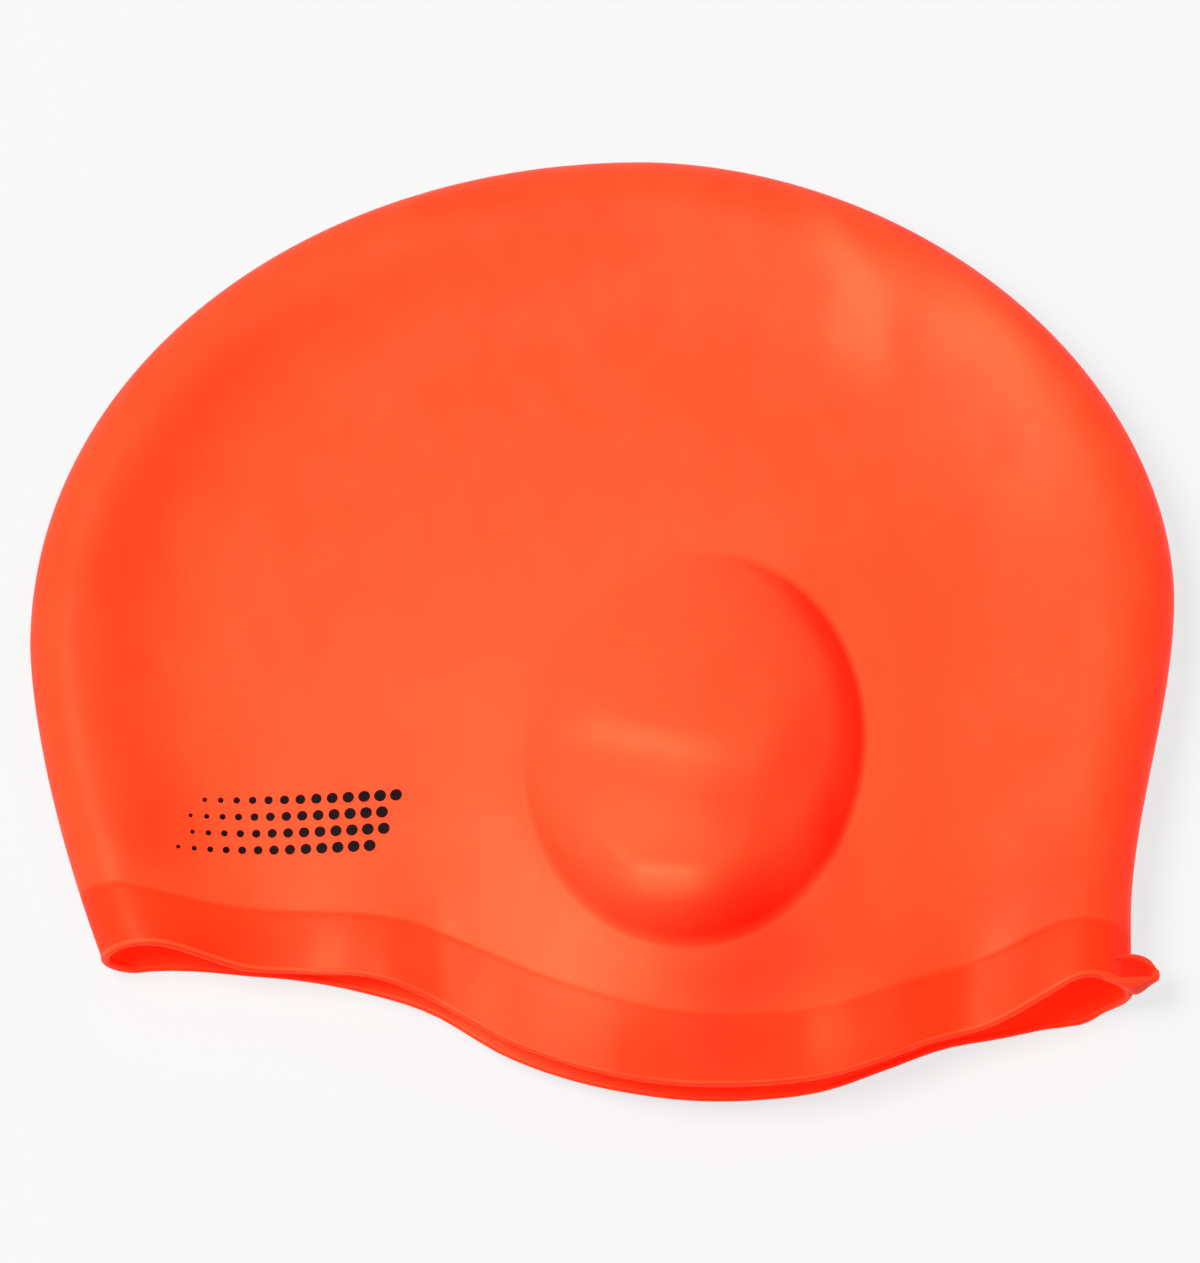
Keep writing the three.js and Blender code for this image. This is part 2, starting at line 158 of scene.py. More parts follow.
POCKET_SIDES: Tuple[SideRow, ...] = (
    SideRow(0, 0.75),
    SideRow(45, 0.68),
    SideRow(90, 0.55),
    SideRow(135, 0.5),
    SideRow(180, 0.45),
    SideRow(225, 0.32),
    SideRow(265, 0.25),
    SideRow(300, 0.36),
    SideRow(330, 0.6),
    SideRow(360, 0.75),
)
POCKET_ROOF: Tuple[RoofRow, ...] = (
    RoofRow(-1.0, 0.1),
    RoofRow(-0.7, 0.34),
    RoofRow(-0.35, 0.66),
    RoofRow(0.0, 0.88),
    RoofRow(0.35, 0.98),
    RoofRow(0.7, 1.0),
    RoofRow(1.0, 1.0),
)
SOFT_FOLDS: Tuple[SwellRow, ...] = (
    SwellRow(0.49, 0.7, 0, 0.17, 0.07, 0.1),
    SwellRow(0.58, 0.67, 0, 0.17, 0.07, -0.11),
    SwellRow(0.69, 0.57, 35, 0.2, 0.08, 0.07),
    SwellRow(-0.08, -0.62, 45, 0.25, 0.09, -0.1),
    SwellRow(0.07, -0.74, 70, 0.25, 0.08, 0.06),
    SwellRow(-0.415, -0.68, 0, 0.25, 0.09, 0.1),
    SwellRow(-0.257, -0.74, 0, 0.22, 0.08, -0.08),
)
FINE_FOLDS: Tuple[SwellRow, ...] = (
    SwellRow(0.085, -0.262, 76, 0.15, 0.034, 0.1),
    SwellRow(0.07, -0.345, 76, 0.14, 0.04, -0.04),
    SwellRow(0.11, -0.56, 90, 0.08, 0.03, 0.06),
    SwellRow(0.505, 0.69, 0, 0.1, 0.03, 0.06),
    SwellRow(0.565, 0.66, 0, 0.1, 0.025, -0.05),
    SwellRow(0.625, 0.687, 57, 0.13, 0.03, 0.06),
    SwellRow(0.765, 0.527, 40, 0.15, 0.03, 0.06),
    SwellRow(-0.383, -0.68, 0, 0.12, 0.06, 0.13),
    SwellRow(-0.27, -0.7, 0, 0.12, 0.06, -0.13),
    SwellRow(-0.157, -0.79, 0, 0.12, 0.07, -0.08),
    SwellRow(0.017, -0.85, 0, 0.12, 0.08, 0.08),
    SwellRow(0.526, -0.79, 0, 0.12, 0.06, 0.1),
    SwellRow(0.639, -0.76, 0, 0.12, 0.06, -0.15),
    SwellRow(0.82, -0.68, 0, 0.12, 0.07, 0.08),
)
# Painted shade on the pocket's steep flank, by direction round the pocket.
PAINTED_FLANK_SHADE: Tuple[FlankShadeRow, ...] = (
    FlankShadeRow(0, 0.24, 0.58),
    FlankShadeRow(40, 0.2, 0.52),
    FlankShadeRow(75, 0.1, 0.2),
    FlankShadeRow(100, 0.06, 0.0),
    FlankShadeRow(190, 0.06, 0.0),
    FlankShadeRow(225, 0.12, 0.15),
    FlankShadeRow(250, 0.17, 0.28),
    FlankShadeRow(275, 0.22, 0.44),
    FlankShadeRow(315, 0.26, 0.34),
    FlankShadeRow(360, 0.24, 0.58),
)
# Painted highlights (+) and painted shade (-) laid into the colour of the upper wall.
PAINTED_LIGHT_AND_SHADE: Tuple[SwellRow, ...] = (
    SwellRow(0.465, 0.67, 0, 0.11, 0.07, 0.78),
    SwellRow(0.407, 0.8, -60, 0.04, 0.1, 0.7),
    SwellRow(0.68, 0.62, 42, 0.16, 0.055, 1.05),
    SwellRow(0.79, 0.41, 30, 0.14, 0.05, 0.4),
    SwellRow(0.6, 0.5, 42, 0.16, 0.04, -0.2),
    SwellRow(0.84, 0.22, 10, 0.12, 0.05, -0.2),
    SwellRow(0.651, -0.19, 0, 0.35, 0.09, 0.28),
    SwellRow(0.76, -0.56, -20, 0.13, 0.09, -0.55),
    SwellRow(0.3, -0.66, -30, 0.12, 0.15, -0.6),
    SwellRow(0.41, -0.48, 15, 0.12, 0.04, -0.35),
    SwellRow(0.2, -0.73, 90, 0.12, 0.06, -0.35),
    SwellRow(-0.083, -0.656, 49, 0.17, 0.08, 0.7),
    SwellRow(-0.231, -0.27, 0, 0.2, 0.1, 0.25),
    SwellRow(0.197, -0.865, 0, 0.09, 0.12, -0.65),
    SwellRow(0.39, -0.82, 0, 0.09, 0.06, 0.5),
    SwellRow(0.515, -0.77, 0, 0.08, 0.05, -0.35),
    SwellRow(-0.074, -0.82, 0, 0.07, 0.09, 0.28),
    SwellRow(-0.2, -0.75, 0, 0.08, 0.05, 0.3),
    SwellRow(-0.475, -0.66, 0, 0.07, 0.05, 0.5),
    SwellRow(-0.327, -0.68, 0, 0.06, 0.06, 0.12),
    SwellRow(-0.69, -0.64, 0, 0.05, 0.16, -0.35),
    SwellRow(0.31, -0.343, -25, 0.2, 0.07, -0.45),
    SwellRow(0.21, -0.41, 0, 0.08, 0.07, -0.3),
    SwellRow(0.235, -0.12, -20, 0.16, 0.1, -0.25),
    SwellRow(0.36, 0.03, 30, 0.1, 0.06, -0.2),
    SwellRow(0.075, -0.271, 78, 0.14, 0.035, 0.6),
    SwellRow(0.0, -0.23, 60, 0.06, 0.04, 0.4),
    SwellRow(0.06, -0.42, 0, 0.1, 0.1, 0.2),
    SwellRow(0.113, -0.575, 88, 0.06, 0.028, 1.6),
    SwellRow(-0.301, -0.04, 0, 0.3, 0.22, 0.2),
    SwellRow(0.05, 0.35, 0, 0.25, 0.3, 0.14),
    SwellRow(-0.834, -0.054, 0, 0.3, 0.08, -0.2),
    SwellRow(-0.8, 0.3, -25, 0.25, 0.07, -0.25),
    SwellRow(-0.62, 0.6, -50, 0.2, 0.07, -0.3),
    SwellRow(-0.79, -0.404, 0, 0.1, 0.08, -0.4),
    SwellRow(-0.1, 0.89, 0, 0.05, 0.3, -0.2),
)
TAB_TABLE: Tuple[TabRow, ...] = (
    TabRow(0.0, 0.02, 0.55, -0.1, 0.93),
    TabRow(0.25, -0.02, 0.7, -0.1, 0.88),
    TabRow(0.5, 0.07, 0.81, -0.1, 0.66),
    TabRow(0.8, 0.26, 0.79, -0.1, 0.3),
    TabRow(1.0, 0.37, 0.61, -0.1, 0.1),
)


def read_table(table: Sequence[NamedTuple], column: str, place: Grid) -> Grid:
    """Reads a table's column at many places, along a smooth curve through its rows.

    Args:
        table: rows with an ``at`` column in rising order.
        column: the column that is read.
        place: where it is read.

    Returns:
        The values, in the shape of ``place``.
    """
    at = np.array([row.at for row in table], dtype=float)
    value = np.array([getattr(row, column) for row in table], dtype=float)
    before = np.concatenate(([0], np.arange(len(at) - 1)))
    after = np.concatenate((np.arange(1, len(at)), [len(at) - 1]))
    slope = (value[after] - value[before]) / (at[after] - at[before])
    held = np.clip(place, at[0], at[-1])
    row = np.clip(np.searchsorted(at, held, side="right") - 1, 0, len(at) - 2)
    span = at[row + 1] - at[row]
    share = (held - at[row]) / span
    rest = 1 - share
    return (
        (1 + 2 * share) * rest * rest * value[row]
        + share * share * (3 - 2 * share) * value[row + 1]
        + share * rest * span * (rest * slope[row] - share * slope[row + 1])
    )


def smooth(share: Grid) -> Grid:
    """Eases a share from 0 to 1."""
    held = np.clip(share, 0.0, 1.0)
    return held * held * (3 - 2 * held)


def swell(row: SwellRow, from_x: Grid, from_y: Grid) -> Grid:
    """Soft oval swell, 1 at its middle.

    Args:
        row: the swell's turn and its sizes along and across.
        from_x: distance from its middle along the cap, in the unit of its sizes.
        from_y: distance from its middle up the cap, in the same unit.

    Returns:
        The swell, in the shape of ``from_x``.
    """
    turn = math.radians(row.turn)
    across = (from_x * math.cos(turn) + from_y * math.sin(turn)) / row.across
    along = (from_y * math.cos(turn) - from_x * math.sin(turn)) / row.along
    return np.exp(-(across**2) - along**2)


@dataclass(frozen=True)
class CapForm:
    """The form of the lying cap: its outline, its two walls and its ear pockets, in millimetres."""

    length: float = 230.0
    crown_rise: float = 101.5
    crown_setback: float = 7.6
    front_fullness: float = 2.03
    back_fullness: float = 1.885
    back_widest_rise: float = 9.2
    skirt_drop: float = 67.0
    front_taper: float = 15.0
    front_taper_power: float = 1.6
    back_taper: float = 9.0
    back_taper_run: float = 68.7
    rim_dip: float = 28.5
    wall: float = 1.0
    band_extra: float = 0.5
    band_width: float = 12.6
    band_step: float = 1.6
    band_fade: float = 0.1
    lip_drop: float = 0.45
    roll_radius: float = 9.75
    roll_growth: float = 1.15
    settle_run: float = 14.0
    crown_depth: float = 14.0
    rim_depth: float = 10.0
    prop_rise: float = 10.0
    prop_centre: Tuple[float, float] = (18.0, -57.0)
    prop_reach: Tuple[float, float] = (92.0, 95.0)
    pocket_centre: Tuple[float, float] = (18.2, -25.0)
    pocket_half: Tuple[float, float] = (34.3, 42.4)
    pocket_lean: float = 5.0
    pocket_depth: float = 15.0
    pocket_fall: float = 45.0
    pocket_shoulder: float = 2.4
    pocket_foot: float = 0.8
    depth_tilt: float = 4.0
    foot_fillet: float = 0.8
    painted_dome_light: float = 0.28
    painted_dome_light_start: float = 0.85
    painted_dome_light_run: float = 0.8
    flank_shade_fade: float = 0.6
    flank_shade_end: float = 0.985
    flank_shade_end_run: float = 0.04
    outline_steps: int = 240

    @property
    def half_length(self) -> float:
        """Half of the cap's length."""
        return self.length / 2

    def front_fold(self, y: Grid) -> Grid:
        """Place of the front fold.

        Args:
            y: places up the cap.

        Returns:
            Its places along the cap, in the shape of ``y``.
        """
        rise = np.clip(y / self.crown_rise, 0.0, 1.0)
        quarter = (1 - rise**self.front_fullness) ** (1 / self.front_fullness)
        dome = self.crown_setback - (self.half_length + self.crown_setback) * quarter
        drop = np.clip(-y / self.skirt_drop, 0.0, 1.0)
        skirt = -self.half_length + self.front_taper * drop**self.front_taper_power
        return np.where(y >= 0, dome, skirt)

    def back_fold(self, y: Grid) -> Grid:
        """Place of the back fold.

        Args:
            y: places up the cap.

        Returns:
            Its places along the cap, in the shape of ``y``.
        """
        rise = y - self.back_widest_rise
        share = np.clip(rise / (self.crown_rise - self.back_widest_rise), 0.0, 1.0)
        quarter = (1 - share**self.back_fullness) ** (1 / self.back_fullness)
        dome = self.crown_setback + (self.half_length - self.crown_setback) * quarter
        skirt = self.half_length - self.back_taper * smooth(-rise / self.back_taper_run)
        return np.where(rise < 0, skirt, dome)

    def fold_line(self) -> Grid:
        """Follows the fold all round, from the front end of the rim to its back end.

        Returns:
            The fold's points in plan.
        """
        share = np.arange(-self.outline_steps, self.outline_steps + 1) / self.outline_steps
        y = self.crown_rise - (self.crown_rise + self.skirt_drop + self.rim_dip) * share**2
        x = np.where(share < 0, self.front_fold(y), self.back_fold(y))
        return np.stack([x, y], axis=-1)

    def distance_to_fold(self, x: Grid, y: Grid) -> Grid:
        """Distance in plan from points to the fold line.

        Args:
            x: places along the cap.
            y: places up the cap.

        Returns:
            The distances, in the shape of ``x``.
        """
        line = self.fold_line()
        start, along = line[:-1], line[1:] - line[:-1]
        squared = (along**2).sum(axis=1)
        turns = np.abs(np.gradient(np.unwrap(np.arctan2(along[:, 1], along[:, 0]))))
        bulges = np.sqrt(squared) * turns / 2
        nearest = np.full(x.size, np.inf)
        points = np.stack([x.ravel(), y.ravel()], axis=-1)
        for origin, step, size, bulge in zip(start, along, squared, bulges):
            offset = points - origin
            share = np.clip(offset @ step / size, 0.0, 1.0)
            away = offset - share[:, None] * step
            nearest = np.minimum(nearest, np.hypot(away[:, 0], away[:, 1]) + bulge * share * (1 - share))
        return nearest.reshape(x.shape)

    def fold_radius(self, x: Grid) -> Grid:
        """Radius of the rolled fold, which grows towards the back."""
        return self.roll_radius + self.roll_growth * x / self.half_length

    def in_pocket(self, x: Grid, y: Grid) -> Tuple[Grid, Grid, Grid, Grid]:
        """Places in the pocket's own oval, whose radius is 1 at the foot of its side.

        Args:
            x: places along the cap.
            y: places up the cap.

        Returns:
            Shares across and along the oval, the radius, and the direction from the oval's centre in
            degrees, 0 towards the back of the cap.
        """
        lean = math.radians(self.pocket_lean)
        from_x = x - self.pocket_centre[0]
        from_y = y - self.pocket_centre[1]
        across = (from_x * math.cos(lean) - from_y * math.sin(lean)) / self.pocket_half[0]
        along = (from_x * math.sin(lean) + from_y * math.cos(lean)) / self.pocket_half[1]
        return across, along, np.hypot(across, along), np.degrees(np.arctan2(along, across)) % 360.0

    def pocket_rise(self, x: Grid, y: Grid) -> Grid:
        """How far an ear pocket stands out of its wall.

        Args:
            x: places along the cap.
            y: places up the cap.

        Returns:
            The rise, in the shape of ``x``.
        """
        across, along, radius, turn = self.in_pocket(x, y)
        width = read_table(POCKET_SIDES, "width", turn)
        left = 1 - np.clip((1 - radius) / width, 0.0, 1.0)
        side = (1 - left**self.pocket_shoulder) ** self.pocket_foot
        fall = math.radians(self.pocket_fall)
        place = across * math.cos(fall) - along * math.sin(fall)
        rise = self.pocket_depth * side * read_table(POCKET_ROOF, "height", place)
        return np.sqrt(rise**2 + self.foot_fillet**2) - self.foot_fillet

    def painted_tones(self, x: Grid, y: Grid) -> Tuple[Grid, Grid]:
        """Where light and where shade are painted into the silicone's colour.

        Args:
            x: places along the cap.
            y: places up the cap.

        Returns:
            The painted light share and the painted shade share.
        """
        painted_spots = self.swells(PAINTED_LIGHT_AND_SHADE, 1.0, x, y)
        _, _, radius, turn = self.in_pocket(x, y)
        # Painted shade on the pocket's flank, strongest on its right and lower sides.
        width = read_table(PAINTED_FLANK_SHADE, "width", turn)
        begun = smooth((radius - 1 + width) / (self.flank_shade_fade * width))
        ended = smooth((radius - self.flank_shade_end) / self.flank_shade_end_run)
        deeper = read_table(PAINTED_FLANK_SHADE, "depth", turn) * begun * (1 - ended)
        # Painted light over the pocket's dome.
        lighter = self.painted_dome_light * (1 - smooth((radius - self.painted_dome_light_start) / self.painted_dome_light_run))
        return np.maximum(painted_spots, 0.0) + lighter, np.maximum(-painted_spots, 0.0) + deeper

    def band_share(self, shares: Grid) -> Grid:
        """How much of the band's extra thickness is left by column; it fades out towards the folds."""
        return smooth((1 - np.abs(shares)) / self.band_fade)

    def swells(self, rows: Sequence[SwellRow], unit: float, x: Grid, y: Grid) -> Grid:
        """Adds up soft oval places of the upper wall.

        Args:
            rows: the places.
            unit: what a strength of 1 stands for.
            x: places along the cap.
            y: places up the cap.

        Returns:
            The sum, in the shape of ``x``.
        """
        total = np.zeros_like(x)
        for row in rows:
            from_x = (x - row.x * self.half_length) / self.crown_rise
            total += row.strength * unit * swell(row, from_x, y / self.crown_rise - row.y)
        return total

    def wall_height(self, x: Grid, y: Grid, wall: Wall, ground: Grid) -> Grid:
        """Height of a wall's outer face above the floor, without the band's extra thickness.

        Args:
            x: places along the cap.
            y: places up the cap.
            wall: which wall is meant.
            ground: the lowest height that the lower wall may take.

        Returns:
            The heights, in the shape of ``x``.
        """
        radius = self.fold_radius(x)
        inside = self.distance_to_fold(x, y)
        reach = np.maximum(radius - inside, 0.0)
        rise = np.sqrt(radius**2 - reach**2)
        settled = 1 - np.exp(-((np.maximum(inside - radius, 0.0) / self.settle_run) ** 2))
        prop_x = (x - self.prop_centre[0]) / self.prop_reach[0]
        prop_y = (y - self.prop_centre[1]) / self.prop_reach[1]
        prop = self.prop_rise * np.maximum(1 - prop_x**2 - prop_y**2, 0.0) ** 2
        if wall is Wall.LOWER:
            return np.maximum(radius - rise + prop * settled - self.pocket_rise(x, y), ground)
        climb = smooth((y + self.skirt_drop + self.rim_dip) / self.skirt_drop)
        depth = self.rim_depth + (self.crown_depth - self.rim_depth) * climb
        depth = depth + self.depth_tilt * climb * x / self.half_length
        folds = self.swells(SOFT_FOLDS + FINE_FOLDS, self.roll_radius, x, y)
        settled_height = (prop + depth - 2 * radius + folds) * settled
        return radius + rise + settled_height + self.pocket_rise(x, y)


def make_object(name: str, points: Grid, faces: Sequence[Sequence[int]]) -> bpy.types.Object:
    """Makes a smooth-shaded mesh object at the origin.

    Args:
        name: the object's name.
        points: its vertices, in metres.
        faces: vertex numbers of its faces.

    Returns:
        The linked object.
    """
    mesh = bpy.data.meshes.new(name)
    mesh.from_pydata(points.reshape(-1, 3).tolist(), [], [tuple(face) for face in faces])
    mesh.update()
    mesh.shade_smooth()
    made = bpy.data.objects.new(name, mesh)
    bpy.context.scene.collection.objects.link(made)
    return made


def store(piece: bpy.types.Object, name: str, rings: Sequence[Grid], start: float = 0.0) -> None:
    """Stores a value on every vertex of a piece made of rings and two closing points.

    Args:
        piece: the piece.
        name: the value's name.
        rings: the values of its rings, in order.
        start: the value of the point that closes its first ring; that of its last ring has 0.
    """
    values = np.concatenate([part.ravel() for part in rings] + [np.array([start, 0.0])])
    layer = piece.data.attributes.new(name, "FLOAT", "POINT")
    layer.data.foreach_set("value", values.astype(np.float32))


def in_scene(points: Grid, origin: Vector) -> Grid:
    """Points of the form in millimetres, as places in the scene in metres."""
    return (points + np.array(origin) / MM) * MM


def shell_faces(rings: int, columns: int) -> List[List[int]]:
    """Joins rings that follow one another, and closes the ends with the two points that come after them.

    Args:
        rings: how many rings there are.
        columns: how many points a ring has.

    Returns:
        Vertex numbers of the quads and of the end triangles.
    """
    ring, column = np.meshgrid(np.arange(rings - 1), np.arange(columns), indexing="ij")
    after = (column + 1) % columns
    low, high = ring * columns, (ring + 1) * columns
    quads = np.stack([low + column, low + after, high + after, high + column], axis=-1)
    faces = quads.reshape(-1, 4).tolist()
    last_ring = (rings - 1) * columns
    first_point, last_point = rings * columns, rings * columns + 1
    for column in range(columns):
        after = (column + 1) % columns
        faces.append([after, column, first_point])
        faces.append([last_ring + column, last_ring + after, last_point])
    return faces


@dataclass(frozen=True)
class CapSkin:
    """The cap's skin: crown, band, lip and ear pockets, as one closed shell."""

    form: CapForm
    origin: Vector
    roll_turn: float = 0.45
    roll_steps: int = 14
    field_steps: Mapping[Wall, Tuple[int, int, int]] = field(
        default_factory=lambda: {Wall.UPPER: (40, 88, 22), Wall.LOWER: (20, 44, 12)}
    )
    band_rows: int = 12
    step_rows: int = 7
    foot_rows: int = 14
    pocket_rows: int = 88
    pocket_margin: float = 1 / 21
    crown_rows: int = 46
    lip_rows: int = 5
    pocket_spread: float = 0.33
    contour_offset: float = 0.075
    contour_width: float = 0.03
    contour_lift: float = 0.28
    contour_turn: float = 205.0
    contour_spread: float = 38.0
    edge_tone_width: float = 2.0
    rows_at_top: int = 2

    def column_shares(self, wall: Wall) -> Grid:
        """Places the columns across a wall, closer together at the folds and over the pocket.

        Args:
            wall: which wall is meant.

        Returns:
            Shares of the half width, from the front fold to the back one.
        """
        form = self.form
        turns = np.linspace(0.0, self.roll_turn, self.roll_steps + 1)
        reach = form.pocket_half[0] * (1 + self.pocket_margin)
        start = (form.pocket_centre[0] - reach) / form.half_length
        end = (form.pocket_centre[0] + reach) / form.half_length
        edge = math.cos(self.roll_turn)
        front_steps, pocket_steps, back_steps = self.field_steps[wall]
        return np.concatenate(
            [
                -np.cos(turns[:-1]),
                np.linspace(-edge, start, front_steps, endpoint=False),
                np.linspace(start, end, pocket_steps, endpoint=False),
                np.linspace(end, edge, back_steps, endpoint=False),
                np.cos(turns[::-1]),
            ]
        )

    def foot_over_pocket(self) -> float:
        """Finds the upper edge of the band's step over the middle of the pocket.

        Returns:
            Its place up the cap.
        """
        form = self.form
        middle = np.array(form.pocket_centre[0] / form.half_length)
        drop = read_table(RIM_TABLE, "upper", middle) * form.rim_dip
        band = read_table(RIM_TABLE, "band", middle) * form.band_width
        return float(-form.skirt_drop - drop + band + form.band_step)

    def crown_squares(self) -> Grid:
        """Places the rows over the band, closer together over the pocket and at the crown's top.

        Returns:
            Shares of the way from the crown's top back to the band.
        """
        form = self.form
        low, middle = self.foot_over_pocket(), form.pocket_centre[1]
        way = form.crown_rise - low
        reach = form.pocket_half[1] * (1 + self.pocket_margin)
        foot = (form.crown_rise - middle + reach) / way
        top = (form.crown_rise - middle - reach) / way
        return np.concatenate(
            [
                np.linspace(1.0, foot, self.foot_rows, endpoint=False)[1:],
                np.linspace(foot, top, self.pocket_rows, endpoint=False),
                np.linspace(math.sqrt(top), 0.0, self.crown_rows, endpoint=False) ** 2,
            ]
        )[:, None]

    def heights(self, rim: Grid, band_top: Grid) -> Tuple[Grid, Grid, Grid]:
        """Places up the cap of every row, and how much of each place is band.

        Args:
            rim: place of the rim by column.
            band_top: place of the band's upper edge by column.

        Returns:
            Places and shares of band, rows by columns, and each row's place along the pocket's oval.
        """
        form = self.form
        band = np.linspace(0.0, 1.0, self.band_rows)[:, None]
        band_y = rim + (band_top - rim) * band
        step = (np.arange(1, self.step_rows + 1) / self.step_rows)[:, None]
        step_y = band_top + form.band_step * step
        crown = self.crown_squares()
        crown_y = form.crown_rise - (form.crown_rise - step_y[-1]) * crown
        band_share = np.concatenate(
            [
                np.ones(self.band_rows),
                1 - smooth(step[:, 0]),
                np.zeros(len(crown)),
            ]
        )[:, None]
        over_pocket = form.crown_rise - (form.crown_rise - self.foot_over_pocket()) * crown
        along = (over_pocket - form.pocket_centre[1]) / form.pocket_half[1]
        along = np.concatenate([np.full((self.band_rows + self.step_rows, 1), -np.inf), along])
        places = np.concatenate([band_y, step_y, crown_y])
        return places, np.broadcast_to(band_share, places.shape), along

    def bend_round(self, x: Grid, y: Grid, shares: Grid, along: Grid) -> Tuple[Grid, Grid]:
        """Bends the net round the pocket, so that one closed line of it runs along the pocket's foot.

        Args:
            x: places along the cap, rows by columns.
            y: places up the cap, rows by columns.
            shares: the columns' places as shares of the half width.
            along: the rows' places along the pocket's oval.

        Returns:
            The bent places along and up the cap.
        """
        form = self.form
        over = np.isfinite(along)
        along = np.where(over, along, 0.0) + np.zeros_like(x)
        across = (shares * form.half_length - form.pocket_centre[0]) / form.pocket_half[0]
        across = across + np.zeros_like(x)
        ring = np.maximum(np.abs(across), np.abs(along))
        bend = (1 - smooth((ring - 1) / self.pocket_spread)) * over
        size = ring / np.maximum(np.hypot(across, along), TINY)
        lean = math.radians(form.pocket_lean)
        to_x = across * size * form.pocket_half[0]
        to_y = along * size * form.pocket_half[1]
        bent_x = form.pocket_centre[0] + to_x * math.cos(lean) + to_y * math.sin(lean)
        bent_y = form.pocket_centre[1] - to_x * math.sin(lean) + to_y * math.cos(lean)
        bend[:, [0, -1]] = 0.0
        return x + (bent_x - x) * bend, y + (bent_y - y) * bend

    def contour_line(self, x: Grid, y: Grid) -> Grid:
        """Lift of the faint second line that runs beside the pocket's lower front edge.

        Args:
            x: places along the cap.
            y: places up the cap.

        Returns:
            The lift, in the shape of ``x``.
        """
        _, _, radius, turn = self.form.in_pocket(x, y)
        facing = np.exp(-(((turn - self.contour_turn) / self.contour_spread) ** 2))
        away = (radius - 1 - self.contour_offset) / self.contour_width
        return self.contour_lift * facing * np.exp(-(away**2))

    def base_net(self) -> Tuple[Grid, Grid, Grid, Grid]:
        """Net of the base surface, without the band's extra thickness.

        Returns:
            Points by row and column, the band's extra thickness, the share of band, and the
            distance from the rim.
        """
        form = self.form
        nets, extras, bands, drops = [], [], [], []
        for wall, column in ((Wall.UPPER, "upper"), (Wall.LOWER, "lower")):
            shares = self.column_shares(wall)
            drop = read_table(RIM_TABLE, column, shares) * form.rim_dip
            rim = -form.skirt_drop - drop + form.lip_drop
            band_top = -form.skirt_drop - drop + read_table(RIM_TABLE, "band", shares) * form.band_width
            y, band, along = self.heights(rim, band_top)
            extra = band * form.band_share(shares) * form.band_extra
            front, back = form.front_fold(y), form.back_fold(y)
            x = (front + back) / 2 + (back - front) / 2 * shares
            moved_x, moved_y = self.bend_round(x, y, shares, along)
            z = form.wall_height(moved_x, moved_y, wall, extra)
            if wall is Wall.UPPER:
                z = z + self.contour_line(moved_x, moved_y)
            z[:, [0, -1]] = form.fold_radius(moved_x[:, [0, -1]])
            nets.append(np.stack([moved_x, moved_y, z], axis=-1))
            extras.append(extra)
            bands.append(band)
            drops.append(y - rim)
        layers = (nets, extras, bands, drops)
        return tuple(np.concatenate([upper, lower[:, -2:0:-1]], axis=1) for upper, lower in layers)

    def outward(self, net: Grid, top: Grid) -> Grid:
        """Finds the directions out of the base surface.

        Args:
            net: the net's points, rows by columns.
            top: the point that closes the net.

        Returns:
            A unit direction at every point of the net.
        """
        around = np.roll(net, -1, axis=1) - np.roll(net, 1, axis=1)
        last = np.broadcast_to(top, net[:1].shape)
        up = np.concatenate([net[1:], last]) - np.concatenate([net[:1], net[:-1]])
        out = np.cross(around, up)
        # Next to the point that closes the net, every direction has to lead up the cap.
        near_top = out[-self.rows_at_top :]
        near_top *= np.where(near_top[..., 1:2] < 0, -1.0, 1.0)
        return out / np.linalg.norm(out, axis=-1, keepdims=True)

    def build(self) -> bpy.types.Object:
        """Builds the closed skin.

        Returns:
            The object, with its side, band, edge, painted light and painted shade stored on its vertices.
        """
        form = self.form
        net, extra, band, from_rim = self.base_net()
        top = np.array([form.crown_setback, form.crown_rise, float(form.fold_radius(form.crown_setback))])
        out = self.outward(net, top)
        outer = net + out * extra[..., None]
        inner = net - out * form.wall
        middle, half = (outer[0] + inner[0]) / 2, (outer[0] - inner[0]) / 2
        down = np.array([0.0, -form.lip_drop, 0.0])
        lips = []
        for turn in np.linspace(0.0, math.pi, self.lip_rows + 2)[1:-1]:
            lips.append(middle - half * math.cos(turn) + down * math.sin(turn))
        rings = np.concatenate([inner[::-1], np.array(lips), outer])
        columns = rings.shape[1]
        inner_top = top - np.array([0.0, form.wall, 0.0])
        points = np.concatenate([rings.reshape(-1, 3), [inner_top, top]])
        skin = make_object("cap_skin", in_scene(points, self.origin), shell_faces(len(rings), columns))
        lip = np.ones((self.lip_rows, columns))
        edge = np.exp(-from_rim / self.edge_tone_width)
        whole = np.ones_like(band)
        # Painted light and painted shade for the colour.
        lighter, deeper = form.painted_tones(rings[..., 0], rings[..., 1])
        inside = [whole * Face.INNER.value, lip * Face.LIP.value, whole * Face.OUTER.value]
        store(skin, "inside", inside, Face.INNER.value)
        store(skin, "band", [band[::-1], lip, band])
        store(skin, "edge", [edge[::-1], lip, edge])
        store(skin, "lighter", [lighter])
        store(skin, "deeper", [deeper])
        return skin

    def rim_path(self, inset: float) -> Grid:
        """Middle line of the lip's bead, all round the opening, in metres.

        Args:
            inset: how far it lies above the end of the lip, in millimetres.

        Returns:
            The line's points, one by column.
        """
        form = self.form
        net, extra, _, _ = self.base_net()
        top = np.array([form.crown_setback, form.crown_rise, form.roll_radius])
        out = self.outward(net, top)[0]
        middle = net[0] + out * (extra[0] - form.wall)[:, None] / 2
        middle[:, 1] += inset - form.lip_drop
        return in_scene(middle, self.origin)


